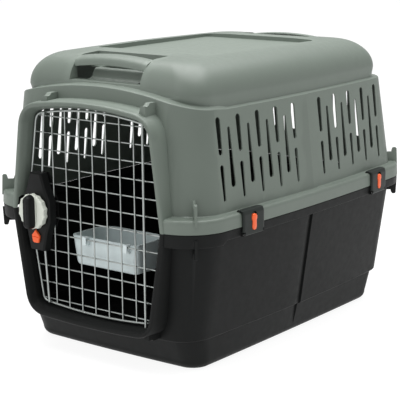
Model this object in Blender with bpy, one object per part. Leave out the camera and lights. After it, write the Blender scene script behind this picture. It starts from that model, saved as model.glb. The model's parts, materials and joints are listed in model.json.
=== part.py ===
"""Hard-shell pet transport carrier: two plastic half shells, a welded wire door with a turning
lock, a hanging water bowl and four side latches. Metres, +Z up, door facing -Y.
The origin is the centre of the base on the floor."""

import math

import bmesh
import bpy
from mathutils import Matrix, Vector

# Overall shell
WALL = 0.0025                 # wall thickness of both shells
GAP = 0.0003                  # running gap between neighbouring pieces
PARTING_Z = 0.240             # height of the joint between the shells
FLANGE_W = 0.240              # half width of the flange at mid-length
FLANGE_L = 0.330              # half length of the flange
FLANGE_TOP = 0.263            # top of the green flange
BAND_BOTTOM = 0.2235          # underside of the dark rim band
BOW = 0.008                   # how far the long sides bow out
CORNER_R = 0.075              # plan corner radius of the flange
WALL_FOOT_W = 0.223           # half width of the upper wall at the flange
WALL_FOOT_L = (0.3080, 0.3160)  # distances of the front and rear from the middle
SHOULDER_Z = 0.4245           # height of the ledge under the dome
SHOULDER_W = 0.2055
SHOULDER_L = (0.2955, 0.3010)
FRONT_ARCH = 0.0300           # how far the shoulder's front edge rises over the door
FRONT_ARCH_W = 0.205
DOME_W = 0.1985               # half width of the dome at its foot
DOME_ENDS = (0.2785, 0.2825)  # distance of the dome's front and rear faces from the middle
DOME_CORNER = 0.045           # plan corner radius of the dome
DOME_FOOT = 0.4435            # height where the dome starts to round over
ROOF_EDGE = 0.4970            # height where the rounding ends
ROOF_Z = 0.4995               # height of the crowned roof
ROOF_ROUND_X = 0.058          # width of the dome's rounding along its sides
ROOF_ROUND_Y = 0.045          # and along its front and rear
STEP_Z = 0.0555               # height of the step near the foot of the tub
STEP_DIP = 0.007              # how far the step dips in the middle of the front
STEP_W = 0.1985
STEP_L = (0.2930, 0.3010)
BASE_W = 0.1830
BASE_L = (0.2740, 0.2790)
BASE_BOW = 0.002
BASE_CORNER = 0.042
BASE_ROUND = 0.0150           # radius of the edge round the bottom
FRONT_BOW = 0.004             # how far the foot's front and rear bow out
CORNER_DIP = 0.0065           # how much deeper the rim band is at the front corners
FLOOR_T = 0.0035

# Roof tray
TRAY_W, TRAY_L, TRAY_DEPTH = 0.122, 0.160, 0.0090

# Door, its welded wires and the collar around it
DOOR_Y = -0.308               # plane of the wire mesh
CELL_W, CELL_H = 0.0293, 0.0285
GRID_Z = 0.228                # height of the middle horizontal wire
WIRE_R, FRAME_R, ROD_R = 0.0014, 0.0023, 0.0022
DOOR_W = 0.147                # half width of the door frame at the parting line
DOOR_TOP_W, DOOR_TOP_Z = 0.1235, 0.4020
DOOR_BOTTOM_W, DOOR_BOTTOM_Z = 0.1185, 0.0812
DOOR_RISE_TOP, DOOR_RISE_BOTTOM = 0.0120, 0.0072
DOOR_CORNER_TOP, DOOR_CORNER_BOTTOM = 0.0190, 0.0120
OPENING_CLEAR = 0.0048        # from the door frame's centre line to the collar
COLLAR_Y = -0.3320            # front of the collar's lip
COLLAR_BACK = -0.2620         # where the collar ends inside the shell
# The collar as (place along Y, distance from the door frame's centre line), outside then inside.
COLLAR_OUTSIDE = ((COLLAR_Y, 0.0145), (-0.3307, 0.0162), (-0.3280, 0.0175), (-0.3150, 0.0182),
                  (COLLAR_BACK, 0.0205))
COLLAR_INSIDE = ((-0.3600, 0.0140), (-0.3318, 0.0105), (-0.3300, 0.0090), (-0.3170, 0.0048),
                 (-0.2400, 0.0048))
ROD_Y = -0.3130               # plane of the hinge rod and the locking rods
HINGE_X = 0.110
HINGE_TOP, HINGE_BOTTOM = 0.4310, 0.0590
ROD_TIP_TOP, ROD_TIP_BOTTOM = 0.4060, 0.0800
EAR_FRONT, EAR_TOP, EAR_FOOT = -0.3220, 0.4352, 0.0570
# Each ear across the door: outer end of its gusset, then both sides of its block.
EARS = ((0.1068, 0.1150, 0.1238), (-0.1047, -0.0947, -0.0846))
ROD_TRAVEL = 0.014

# Door lock
KNOB_X, KNOB_Z = -0.1135, 0.2405
KNOB_R = 0.0305
ROD_LEAN = math.radians(4.0)
KNOB_WAVES = 14
# Places along Y with the knob's share of its full width there.
KNOB_STATIONS = ((-0.3288, 0.96), (-0.3310, 1.0), (-0.3365, 1.0), (-0.3385, 0.95))
# Places along Y with the grip's half width and half height there.
GRIP_STATIONS = ((-0.3388, 0.0105, 0.0270), (-0.3440, 0.0085, 0.0262), (-0.3500, 0.0070, 0.0235),
                 (-0.3520, 0.0050, 0.0210))
HOUSING_FRONT, HOUSING_BACK = -0.3275, -0.3113
# Right half of the housing's outline about the knob's axis.
HOUSING_OUTLINE = ((0.0130, 0.0640), (0.0220, 0.0380), (0.0315, 0.0180), (0.0315, -0.0180),
                   (0.0230, -0.0380), (0.0160, -0.0690))
# Each pair is a distance behind the door's plane and a radius there.
SCREW_HOLE = ((0.0010, 0.0018), (0.0058, 0.0018), (0.0059, 0.0036), (0.0110, 0.0036))
SCREW_SHAPE = ((0.0012, 0.0014), (0.0061, 0.0014), (0.0062, 0.0032), (0.0080, 0.0032), (0.0086, 0.0024))
SCREW_SPOTS = ((0.0, 0.0540), (0.0, -0.0570), (-0.0235, 0.0), (0.0235, 0.0))
FOLLOWER_R = 0.0240           # rest radius of the rod's follower pin in the cam
CATCH_X, CATCH_Z = -0.1125, 0.1985
CATCH_TRAVEL = 0.005
# Right half of the catch's outline about its middle.
CATCH_OUTLINE = ((0.0, 0.0100), (0.0035, 0.0060), (0.0085, 0.0005), (0.0085, -0.0020),
                 (0.0065, -0.0110), (0.0040, -0.0125))

# Carrying handles in the dome's front and rear edges
HANDLE_W = 0.0755
HANDLE_ARCH = 0.0055          # how far the grip arches up between its ends
# Sections along the carrier as (distance from the middle, height).
SCOOP = ((0.3200, 0.4574), (0.2560, 0.4578), (0.2490, 0.4592), (0.2440, 0.4625), (0.2405, 0.4690),
         (0.2370, 0.4735), (0.2300, 0.4750), (0.2050, 0.4752), (0.2000, 0.5300), (0.3200, 0.5300))
GRIP = ((0.2632, 0.4785), (0.2612, 0.4868), (0.2560, 0.4913), (0.2470, 0.4943), (0.2380, 0.4945),
        (0.2368, 0.4915), (0.2440, 0.4898), (0.2520, 0.4868), (0.2565, 0.4832), (0.2590, 0.4785))
# The windows beside the scoop's curved back, which reach through its side walls.
WINDOW_IN, WINDOW_OUT, WINDOW_TOP = 0.0545, 0.0795, 0.4795
WINDOW_Y = (0.2200, 0.2570)   # distances of the windows' ends from the middle
POCKET_SLOT_W = 0.0500        # half width of the slot in the pocket's floor behind the grip
POCKET_SLOT_Y = (0.2060, 0.2280)

# Ventilation slots
SLOT_PITCH = 0.0245
SLOT_FIRST = 0.0410           # first column on a side, from the seam
REAR_COLUMNS = 5              # columns either side of the middle one in the rear wall
# Each slot's bottom and top, and how wide it is at each.
SLOT_LEVELS = {"upper": (0.3545, 0.4130, 0.0076, 0.0098), "lower": (0.2815, 0.3385, 0.0050, 0.0078),
               "long": (0.3010, 0.3960, 0.0098, 0.0050)}

# Side latches
LATCH_Y = 0.195
LATCH_HALF = 0.027
LATCH_PIVOT_Z = 0.2275
LATCH_PIVOT_OUT = 0.0027      # pivot in front of the flange's face
LATCH_KNUCKLE = 0.0022
PIN_R = 0.0010
LOCK_LOW, LOCK_HIGH = 0.0040, 0.0310   # bottom and top of the lock button, above the pivot
LOCK_HEAD_R, LOCK_STEM = 0.0068, 0.0054
LOCK_TRAVEL = 0.003

# Water bowl
BOWL_X, BOWL_HALF, BOWL_DEEP, BOWL_HIGH = 0.0120, 0.0715, 0.0850, 0.0500
BOWL_RIM_Z, BOWL_WALL = 0.2025, 0.0020
BOWL_FRONT = DOOR_Y + 0.0075
HOOK_X = (-0.0225, 0.0660)

# Seam pleats across the middle of each side: where they are and how deep
WALL_SEAM_Y, TUB_SEAM_Y = 0.0120, 0.0020
WALL_SEAM_DEEP, TUB_SEAM_DEEP = 0.0012, 0.0022

CORNER_STEPS, SIDE_STEPS, END_STEPS = 5, 6, 6
DOOR_CORNER_STEPS = 4
ROUND = 10                    # sides of a small round piece

for old in list(bpy.data.objects):
    bpy.data.objects.remove(old)
carrier = bpy.data.collections.new("pet_transport_carrier")
cutters = bpy.data.collections.new("cutters")
bpy.context.scene.collection.children.link(carrier)
bpy.context.scene.collection.children.link(cutters)


def material(name, colour, roughness, metallic=0.0):
    made = bpy.data.materials.new(name)
    made.use_nodes = True
    shader = made.node_tree.nodes["Principled BSDF"]
    shader.inputs["Base Color"].default_value = (*colour, 1.0)
    shader.inputs["Roughness"].default_value = roughness
    shader.inputs["Metallic"].default_value = metallic
    return made


SAGE = material("sage_green_plastic", (0.175, 0.205, 0.178), 0.45)
CHARCOAL = material("charcoal_plastic", (0.027, 0.028, 0.028), 0.5)
LATCH_DARK = material("latch_plastic", (0.030, 0.036, 0.033), 0.45)
ORANGE = material("orange_plastic", (0.80, 0.13, 0.03), 0.4)
ZINC = material("zinc_wire", (0.50, 0.50, 0.48), 0.35, 1.0)
STEEL = material("steel_pin", (0.45, 0.45, 0.45), 0.35, 1.0)
SILVER = material("silver_plastic", (0.48, 0.50, 0.45), 0.4)
BLACK = material("black_plastic", (0.020, 0.022, 0.021), 0.45)
BOWL_GREY = material("bowl_plastic", (0.50, 0.56, 0.57), 0.4)


def add_object(name, bm, finish=None, smooth=True):
    """Turns a bmesh into an object; with no finish it is a cutter."""
    bmesh.ops.recalc_face_normals(bm, faces=bm.faces)
    mesh = bpy.data.meshes.new(name)
    bm.to_mesh(mesh)
    bm.free()
    made = bpy.data.objects.new(name, mesh)
    if finish:
        carrier.objects.link(made)
        mesh.materials.append(finish)
        if smooth:
            mesh.shade_smooth()
            mesh.set_sharp_from_angle(angle=math.radians(32))
    else:
        cutters.objects.link(made)
        made.hide_render = True
        made.display_type = "WIRE"
    return made


def boolean(target, tool, operation="DIFFERENCE"):
    modifier = target.modifiers.new(tool.name, "BOOLEAN")
    modifier.operation = operation
    modifier.object = tool


def loft(bm, rings):
    """Joins rings of equal length into one closed solid with flat end caps."""
    rows = [[bm.verts.new(point) for point in ring] for ring in rings]
    count = len(rows[0])
    for low, high in zip(rows, rows[1:]):
        for i in range(count):
            j = (i + 1) % count
            bm.faces.new((low[i], low[j], high[j], high[i]))
    bm.faces.new(rows[0])
    bm.faces.new(rows[-1])


def prism(bm, outline, along):
    """Extrudes a closed outline of points by the vector along."""
    along = Vector(along)
    loft(bm, [outline, [Vector(point) + along for point in outline]])


def box(bm, low, high):
    low, high = Vector(low), Vector(high)
    place = Matrix.Translation((low + high) / 2) @ Matrix.Diagonal((*(high - low), 1))
    bmesh.ops.create_cube(bm, size=1, matrix=place)


def rod(bm, start, end, radius, sides=ROUND):
    """A closed cylinder between two points."""
    start, end = Vector(start), Vector(end)
    turn = Vector((0, 0, 1)).rotation_difference(end - start).to_matrix().to_4x4()
    place = Matrix.Translation((start + end) / 2) @ turn
    bmesh.ops.create_cone(bm, cap_ends=True, segments=sides, radius1=radius, radius2=radius,
                          depth=(end - start).length, matrix=place)


def turned_y(bm, centre, profile, sides=12):
    """A closed turned piece about a Y axis, from (distance along Y, radius) pairs."""
    rings = []
    for along, radius in profile:
        angles = [2 * math.pi * i / sides for i in range(sides)]
        rings.append([(centre[0] + radius * math.cos(a), centre[1] + along,
                       centre[2] + radius * math.sin(a)) for a in angles])
    loft(bm, rings)


def arc(centre, radius, start, end, steps):
    """Points of a 2D arc; angles in degrees."""
    points = []
    for i in range(steps + 1):
        angle = math.radians(start + (end - start) * i / steps)
        points.append((centre[0] + radius * math.cos(angle), centre[1] + radius * math.sin(angle)))
    return points


def bowed_x(half_w, half_l, corner, bow, y):
    """Half width of a bowed plan outline at a place along its straight side."""
    return half_w - bow * (y / (half_l - corner)) ** 2


def grown(ends, more):
    """Distances of the front and rear from the middle, made larger."""
    ends = ends if isinstance(ends, tuple) else (ends, ends)
    return (ends[0] + more, ends[1] + more)


def plan(half_w, ends, corner, z, bow=BOW, end_bow=0.0):
    """Rounded rectangle with bowed long sides, as a ring of points at height z. ends holds the
    distances of the front and rear from the middle. end_bow draws their outer parts in."""
    front, rear = ends
    end_w = half_w - bow
    rear_arc = arc((end_w - corner, rear - corner), corner, 0, 90, CORNER_STEPS)
    front_arc = arc((end_w - corner, corner - front), corner, -90, 0, CORNER_STEPS)
    low, high = corner - front, rear - corner
    side = []
    for i in range(1, SIDE_STEPS):
        share = 2 * i / SIDE_STEPS - 1
        side.append((half_w - bow * share ** 2, (low + high) / 2 + share * (high - low) / 2))
    across = []
    for i in range(1, END_STEPS):
        across.append((end_w - corner) * (1 - 2 * i / END_STEPS))
    right = front_arc + side + rear_arc
    left = [(-x, y) for x, y in reversed(right)]
    ring = right + [(x, rear) for x in across] + left + [(-x, -front) for x in across]
    middle = (rear - front) / 2
    length = (rear + front) / 2
    out = []
    for x, y in ring:
        drawn = end_bow * (x / end_w) ** 2 * max(0.0, abs(y - middle) / length * 4 - 3)
        out.append((x, y - math.copysign(drawn, y), z))
    return out


def front_arch(x):
    return FRONT_ARCH * max(0.0, 1 - (x / FRONT_ARCH_W) ** 2)


def arched(ring):
    """Raises the front of a shoulder ring into the arch over the door."""
    return [(x, y, z + front_arch(x)) if y < -0.22 else (x, y, z) for x, y, z in ring]


def dipped(ring, depth, wide):
    """Lowers the front of a ring by depth, fading out at the half width wide."""
    out = []
    for x, y, z in ring:
        share = max(0.0, 1 - (x / wide) ** 2) if y < -0.22 else 0.0
        out.append((x, y, z - depth * share))
    return out


def dome_ring(share_x, share_y, z, inset):
    """A ring of the dome; the shares run from 0 at its foot to 1 at the end of the rounding."""
    shrink_x, shrink_y = ROOF_ROUND_X * share_x + inset, ROOF_ROUND_Y * share_y + inset
    ends = (DOME_ENDS[0] - shrink_y, DOME_ENDS[1] - shrink_y)
    ring = plan(DOME_W - shrink_x, ends, DOME_CORNER - 0.25 * shrink_y, z)
    foot = []
    for x, y, height in ring:
        over = SHOULDER_Z + front_arch(x) + 0.0015 - inset
        foot.append((x, y, max(height, over)) if y < -0.22 else (x, y, height))
    return foot


def dome_rings(inset):
    """Rings of the dome above the shoulder, offset inwards by inset, up to the crowned roof."""
    rings = []
    for i in range(7):
        t = math.radians(90 * i / 6)
        z = DOME_FOOT + (ROOF_EDGE - DOME_FOOT - inset) * math.sin(t)
        rings.append(dome_ring(1 - math.cos(t), 1 - math.cos(t), z, inset))
    rings.append(dome_ring(1.45, 1.6, ROOF_Z - 0.0012 - inset, inset))
    rings.append(dome_ring(2.2, 2.8, ROOF_Z - inset, inset))
    return rings


def upper_outside():
    foot = FLANGE_TOP + 0.0015
    rings = [
        plan(FLANGE_W, grown(FLANGE_L, 0.0), CORNER_R, PARTING_Z + GAP / 2),
        plan(FLANGE_W - 0.0005, grown(FLANGE_L, -0.0005), CORNER_R, FLANGE_TOP - 0.006),
        plan(FLANGE_W - 0.0022, grown(FLANGE_L, -0.0022), CORNER_R - 0.002, FLANGE_TOP - 0.0018),
        plan(FLANGE_W - 0.0065, grown(FLANGE_L, -0.0065), CORNER_R - 0.006, FLANGE_TOP),
        plan(WALL_FOOT_W + 0.002, grown(WALL_FOOT_L, 0.002), CORNER_R - 0.010, FLANGE_TOP + 0.0002),
        plan(WALL_FOOT_W, grown(WALL_FOOT_L, 0.0), CORNER_R - 0.011, foot),
        arched(plan(SHOULDER_W, grown(SHOULDER_L, 0.0), CORNER_R - 0.015, SHOULDER_Z - 0.002)),
        arched(plan(SHOULDER_W - 0.0015, grown(SHOULDER_L, -0.0015), CORNER_R - 0.016, SHOULDER_Z)),
        arched(plan(DOME_W + 0.001, (DOME_ENDS[0] + 0.002, DOME_ENDS[1] + 0.001), CORNER_R - 0.019,
                    SHOULDER_Z + 0.0012)),
    ]
    return rings + dome_rings(0.0)


def upper_inside():
    rings = [
        plan(FLANGE_W - WALL, grown(FLANGE_L, -WALL), CORNER_R - WALL, PARTING_Z - 0.001),
        plan(FLANGE_W - WALL - 0.001, grown(FLANGE_L, -WALL - 0.001), CORNER_R - WALL, FLANGE_TOP - 0.0045),
        plan(FLANGE_W - 0.0075, grown(FLANGE_L, -0.0075), CORNER_R - 0.007, FLANGE_TOP - WALL),
        plan(WALL_FOOT_W - WALL, grown(WALL_FOOT_L, -WALL), CORNER_R - 0.013, FLANGE_TOP - WALL + 0.0005),
        arched(plan(SHOULDER_W - WALL, grown(SHOULDER_L, -WALL), CORNER_R - 0.017, SHOULDER_Z - WALL)),
        arched(plan(DOME_W - WALL + 0.0005, (DOME_ENDS[0] - WALL + 0.001, DOME_ENDS[1] - WALL + 0.001),
                    CORNER_R - 0.021, SHOULDER_Z - 0.001)),
    ]
    return rings + dome_rings(WALL)


def lower_outside():
    under = BAND_BOTTOM - 0.0012
    rings = []
    for i in range(4):
        t = math.radians(90 * i / 3)
        cut = BASE_ROUND * (1 - math.sin(t))
        rings.append(plan(BASE_W - cut, grown(BASE_L, -cut), BASE_CORNER - cut,
                          BASE_ROUND * (1 - math.cos(t)), BASE_BOW, FRONT_BOW))
    rings += [
        dipped(plan(STEP_W - 0.004, grown(STEP_L, -0.004), CORNER_R - 0.031, STEP_Z - 0.001),
               STEP_DIP, STEP_W),
        dipped(plan(STEP_W, grown(STEP_L, 0.0), CORNER_R - 0.029, STEP_Z + 0.001), STEP_DIP, STEP_W),
        plan(WALL_FOOT_W, grown(WALL_FOOT_L, 0.0), CORNER_R - 0.011, under),
        plan(FLANGE_W - 0.0045, grown(FLANGE_L, -0.0045), CORNER_R - 0.003, BAND_BOTTOM),
        plan(FLANGE_W - 0.0015, grown(FLANGE_L, -0.0015), CORNER_R, BAND_BOTTOM + 0.003),
        plan(FLANGE_W - 0.0005, grown(FLANGE_L, -0.0005), CORNER_R, PARTING_Z - GAP / 2),
    ]
    return rings[:6] + [deep_corners(ring) for ring in rings[6:9]] + rings[9:]


def deep_corners(ring):
    """Carries the rim band lower round the front."""
    return [(x, y, z - CORNER_DIP) if y < -0.262 else (x, y, z) for x, y, z in ring]


def lower_inside():
    rings = [
        plan(BASE_W - BASE_ROUND, grown(BASE_L, -BASE_ROUND), CORNER_R - 0.043, FLOOR_T, BASE_BOW, FRONT_BOW),
        plan(BASE_W - 0.0065, grown(BASE_L, -0.0065), CORNER_R - 0.040, FLOOR_T + 0.0045,
             BASE_BOW, FRONT_BOW),
        plan(BASE_W - WALL, grown(BASE_L, -WALL), CORNER_R - 0.036, FLOOR_T + 0.0125, BASE_BOW, FRONT_BOW),
        dipped(plan(STEP_W - 0.004 - WALL, grown(STEP_L, -0.004 - WALL), CORNER_R - 0.034,
                    STEP_Z - 0.001 + WALL), STEP_DIP, STEP_W),
        dipped(plan(STEP_W - WALL, grown(STEP_L, -WALL), CORNER_R - 0.031, STEP_Z + 0.001 + WALL),
               STEP_DIP, STEP_W),
        plan(WALL_FOOT_W - WALL, grown(WALL_FOOT_L, -WALL), CORNER_R - 0.013, BAND_BOTTOM + WALL - 0.001),
        plan(FLANGE_W - 0.0045 - WALL, grown(FLANGE_L, -0.0045 - WALL), CORNER_R - 0.006, BAND_BOTTOM + WALL),
        plan(FLANGE_W - WALL - 0.001, grown(FLANGE_L, -WALL - 0.001), CORNER_R - WALL, PARTING_Z + 0.001),
    ]
    return rings[:5] + [deep_corners(ring) for ring in rings[5:7]] + rings[7:]


def door_half(upper, grow, past=0.0):
    """Half of the door's outline, from the parting line over the top (or bottom) and back.
    grow offsets it outwards and past carries it over the parting line."""
    side = 1 if upper else -1
    corner_w = (DOOR_TOP_W if upper else DOOR_BOTTOM_W) + grow
    corner_z = (DOOR_TOP_Z + grow) if upper else (DOOR_BOTTOM_Z - grow)
    rise = side * (DOOR_RISE_TOP if upper else DOOR_RISE_BOTTOM)
    radius = (DOOR_CORNER_TOP if upper else DOOR_CORNER_BOTTOM) + 1.8 * grow
    wide = DOOR_W + grow
    start = PARTING_Z + side * (GAP / 2 - past)
    slope = Vector((corner_w - wide, corner_z - PARTING_Z)).normalized()
    across = Vector((-1, side * 0.13)).normalized()
    corner = Vector((corner_w, corner_z))
    reach = radius * math.tan(slope.angle(across) / 2)
    outline = [(wide, start)]
    for i in range(DOOR_CORNER_STEPS + 1):
        share = i / DOOR_CORNER_STEPS
        first = (corner - slope * reach).lerp(corner, share)
        second = corner.lerp(corner + across * reach, share)
        outline.append(tuple(first.lerp(second, share)))
    end_x, end_z = outline[-1]
    top = corner_z + rise
    arch = []
    for i in range(1, 8):
        x = end_x * (1 - 2 * i / 8)
        arch.append((x, top - (top - end_z) * (x / end_x) ** 2))
    return outline + arch + [(-x, z) for x, z in reversed(outline)]


def in_y(outline, y):
    return [(x, y, z) for x, z in outline]


def door_loft(name, upper, stations, past=0.0):
    """A solid through door outlines given as (place along Y, growth) pairs."""
    bm = bmesh.new()
    loft(bm, [in_y(door_half(upper, grow, past), y) for y, grow in stations])
    return add_object(name, bm)


def slot_outline(low, high, low_w, high_w):
    """A tapered slot with rounded ends as (along, up) points about its own centre line."""
    a, b = high_w / 2, low_w / 2
    top = [(a, high - a * 0.6), (a * 0.4, high), (-a * 0.4, high), (-a, high - a * 0.6)]
    bottom = [(-b, low + b * 0.6), (-b * 0.4, low), (b * 0.4, low), (b, low + b * 0.6)]
    return top + bottom


def vent_slots():
    bm = bmesh.new()
    inner, outer = SHOULDER_W - 0.030, FLANGE_W + 0.02
    for side in (-1, 1):
        for end in (-1, 1):
            for column in range(9):
                y = end * (SLOT_FIRST + column * SLOT_PITCH)
                levels = ["long"] if column % 2 else ["upper", "lower"]
                for level in levels:
                    ring = [(side * inner, y + a, z) for a, z in slot_outline(*SLOT_LEVELS[level])]
                    prism(bm, ring, (side * (outer - inner), 0, 0))
    for column in range(-REAR_COLUMNS, REAR_COLUMNS + 1):
        levels = ["long"] if column % 2 else ["upper", "lower"]
        for level in levels:
            ring = [(column * SLOT_PITCH + a, SHOULDER_L[1] - 0.030, z)
                    for a, z in slot_outline(*SLOT_LEVELS[level])]
            prism(bm, ring, (0, 0.065, 0))
    return add_object("vent_slots", bm)


def corner_fins(upper):
    """Four diagonal strap hooks, standing on the flange or hanging from the rim band."""
    bm = bmesh.new()
    half_t = 0.0022
    sign = 1 if upper else -1
    foot = FLANGE_TOP - 0.010 if upper else BAND_BOTTOM + 0.008
    top = FLANGE_TOP + 0.017 if upper else BAND_BOTTOM - 0.016
    tip = top + sign * 0.008
    profile = [(-0.030, foot), (0.0015, foot), (0.0000, tip - sign * 0.002), (-0.0020, tip),
               (-0.0060, tip), (-0.0080, tip - sign * 0.002), (-0.0095, top), (-0.0190, top),
               (-0.0230, top + sign * 0.010), (-0.0300, top + sign * 0.010)]
    for sx in (-1, 1):
        for sy in (-1, 1):
            away = Vector((sx, sy, 0)).normalized()
            across = Vector((-away.y, away.x, 0))
            rim = Vector((sx * (FLANGE_W - BOW - CORNER_R), sy * (FLANGE_L - CORNER_R), 0))
            rim += away * CORNER_R
            ring = [rim + away * d + Vector((0, 0, z)) - across * half_t for d, z in profile]
            prism(bm, ring, across * 2 * half_t)
    return add_object("upper_fins" if upper else "lower_fins", bm)


def handle_grip(end):
    """The arched grip across a handle pocket, at the dome's front (end -1) or rear (end +1) edge."""
    bm = bmesh.new()
    rings = []
    reach = HANDLE_W + 0.0015
    for i in range(9):
        x = reach * (2 * i / 8 - 1)
        lift = HANDLE_ARCH * (1 - (x / reach) ** 2)
        shift = DOME_ENDS[0] if end < 0 else DOME_ENDS[1]
        rings.append([(x, end * (y + shift - DOME_ENDS[0]), z + lift) for y, z in GRIP])
    loft(bm, rings)
    bmesh.ops.triangulate(bm, faces=bm.faces)
    return add_object("grip_front" if end < 0 else "grip_rear", bm)


def handle_scoop(end, grow):
    """The space of a handle pocket, or with grow the block its walls are cut from."""
    bm = bmesh.new()
    shift = 0.0 if end < 0 else DOME_ENDS[1] - DOME_ENDS[0]
    ring = []
    for y, z in SCOOP:
        deep = grow if y < 0.29 else 0.0
        ring.append((-HANDLE_W - grow, end * (y + shift - deep), z - (grow if z < 0.5 else 0.0)))
    prism(bm, ring, (2 * (HANDLE_W + grow), 0, 0))
    return bm


def pocket_windows(end):
    """Openings from a handle pocket into the shell: one at each end and a slot behind the grip."""
    bm = bmesh.new()
    back, fore = sorted((end * WINDOW_Y[0], end * WINDOW_Y[1]))
    for side in (-1, 1):
        near, far = sorted((side * WINDOW_IN, side * WINDOW_OUT))
        box(bm, (near, back, SCOOP[0][1] - 0.0100), (far, fore, WINDOW_TOP))
    back, fore = sorted((end * POCKET_SLOT_Y[0], end * POCKET_SLOT_Y[1]))
    box(bm, (-POCKET_SLOT_W, back, 0.4700), (POCKET_SLOT_W, fore, 0.4780))
    return bm


def rod_ears(upper):
    """Small moulded ears on the collar that guard the ends of the hinge rod and a locking rod."""
    bm = bmesh.new()
    seat, tip = (0.4100, EAR_TOP) if upper else (0.0720, EAR_FOOT)
    for gusset, near, far in EARS:
        outline = [(gusset, seat), (far, seat), (far, tip), (near, tip)]
        prism(bm, in_y(outline, EAR_FRONT), (0, 0.0300, 0))
    return add_object("upper_ears" if upper else "lower_ears", bm)


def side_grooves(name, y, low, high, deep, wide, steep):
    """Cutter for a pleat down both sides: sinks gently over wide and ends in a sharp edge. low and
    high are (half width, height) of the wall's foot and top."""
    bm = bmesh.new()
    for side in (-1, 1):
        rings = []
        for half_w, z in (low, high):
            rings.append([(side * (half_w + 0.004), y - wide * steep, z),
                          (side * half_w, y - wide * steep, z), (side * (half_w - deep), y, z),
                          (side * half_w, y + wide * (1 - steep), z),
                          (side * (half_w + 0.004), y + wide * (1 - steep), z)])
        loft(bm, rings)
    return add_object(name, bm)


def build_upper_shell():
    bm = bmesh.new()
    loft(bm, upper_outside())
    shell = add_object("upper_shell", bm, SAGE)
    boolean(shell, side_grooves("wall_seam", WALL_SEAM_Y, (WALL_FOOT_W, FLANGE_TOP + 0.0015),
                                (SHOULDER_W, SHOULDER_Z - 0.002), WALL_SEAM_DEEP, 0.009, 0.1))
    boolean(shell, door_loft("collar_upper", True, COLLAR_OUTSIDE), "UNION")
    boolean(shell, rod_ears(True), "UNION")
    boolean(shell, corner_fins(True), "UNION")
    bm = bmesh.new()
    loft(bm, upper_inside())
    cavity = add_object("upper_cavity", bm)
    bm = bmesh.new()
    loft(bm, [plan(TRAY_W + WALL, grown(TRAY_L, WALL), 0.014, ROOF_Z - TRAY_DEPTH - WALL, 0.0),
              plan(TRAY_W + WALL, grown(TRAY_L, WALL), 0.016, ROOF_Z + 0.0100, 0.0)])
    boolean(cavity, add_object("tray_floor", bm))
    for end in (-1, 1):
        name = "front" if end < 0 else "rear"
        boolean(cavity, add_object(name + "_pocket_walls", handle_scoop(end, WALL)))
    boolean(shell, cavity)
    for end in (-1, 1):
        name = "front" if end < 0 else "rear"
        boolean(shell, add_object(name + "_pocket", handle_scoop(end, 0.0)))
        boolean(shell, add_object(name + "_pocket_windows", pocket_windows(end)))
        boolean(shell, handle_grip(end), "UNION")
    bm = bmesh.new()
    loft(bm, [plan(TRAY_W, grown(TRAY_L, 0.0), 0.012, ROOF_Z - TRAY_DEPTH, 0.0),
              plan(TRAY_W, grown(TRAY_L, 0.0), 0.016, ROOF_Z + 0.0050, 0.0)])
    boolean(shell, add_object("roof_tray", bm))
    boolean(shell, door_loft("doorway_upper", True, COLLAR_INSIDE, past=0.003))
    boolean(shell, vent_slots())
    bm = bmesh.new()
    rod(bm, (HINGE_X, ROD_Y, 0.390), (HINGE_X, ROD_Y, HINGE_TOP + GAP), ROD_R + 0.0003)
    boolean(shell, add_object("upper_rod_hole", bm))
    return shell


def build_lower_tub():
    bm = bmesh.new()
    loft(bm, lower_outside())
    tub = add_object("lower_tub", bm, CHARCOAL)
    boolean(tub, side_grooves("tub_seam", TUB_SEAM_Y, (STEP_W, STEP_Z + 0.001),
                              (WALL_FOOT_W, BAND_BOTTOM - 0.0012), TUB_SEAM_DEEP, 0.020, 0.88))
    boolean(tub, door_loft("collar_lower", False, COLLAR_OUTSIDE), "UNION")
    boolean(tub, rod_ears(False), "UNION")
    boolean(tub, corner_fins(False), "UNION")
    bm = bmesh.new()
    for side in (-1, 1):
        for end in (-1, 1):
            latch_lugs(bm, side, end)
    boolean(tub, add_object("latch_lugs", bm), "UNION")
    bm = bmesh.new()
    loft(bm, lower_inside())
    boolean(tub, add_object("lower_cavity", bm))
    boolean(tub, door_loft("doorway_lower", False, COLLAR_INSIDE, past=0.003))
    bm = bmesh.new()
    rod(bm, (HINGE_X, ROD_Y, HINGE_BOTTOM - GAP), (HINGE_X, ROD_Y, 0.100), ROD_R + 0.0003)
    for side in (-1, 1):
        for end in (-1, 1):
            place = latch_frame(side, end)
            reach = LATCH_HALF + 0.004
            rod(bm, place @ Vector((0, -reach, 0)), place @ Vector((0, reach, 0)), PIN_R + GAP, 8)
    boolean(tub, add_object("pin_holes", bm))
    return tub


def latch_frame(side, end):
    """Where a latch pivots: X points out of the carrier, Y runs along its hinge pin."""
    straight = FLANGE_L - CORNER_R
    face = bowed_x(FLANGE_W, FLANGE_L, CORNER_R, BOW, LATCH_Y)
    turn = 2 * BOW * LATCH_Y / straight ** 2
    if side > 0:
        angle = end * turn
    else:
        angle = math.pi - end * turn
    origin = Vector((side * (face + LATCH_PIVOT_OUT), end * LATCH_Y, LATCH_PIVOT_Z))
    return Matrix.Translation(origin) @ Matrix.Rotation(angle, 4, "Z")


def latch_lugs(bm, side, end):
    """Two ears on the rim band that hold the ends of a latch's hinge pin."""
    place = latch_frame(side, end)
    root = -LATCH_PIVOT_OUT - 0.0050
    outline = [(root, 0.0032), (root, -0.0032), (0.0005, -0.0025), (0.0022, -0.0010), (0.0022, 0.0010),
               (0.0005, 0.0025)]
    for start in (-LATCH_HALF + 0.0010, LATCH_HALF - 0.0045):
        ring = [place @ Vector((x, start, z)) for x, z in outline]
        prism(bm, ring, place.to_3x3() @ Vector((0, 0.0035, 0)))


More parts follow.
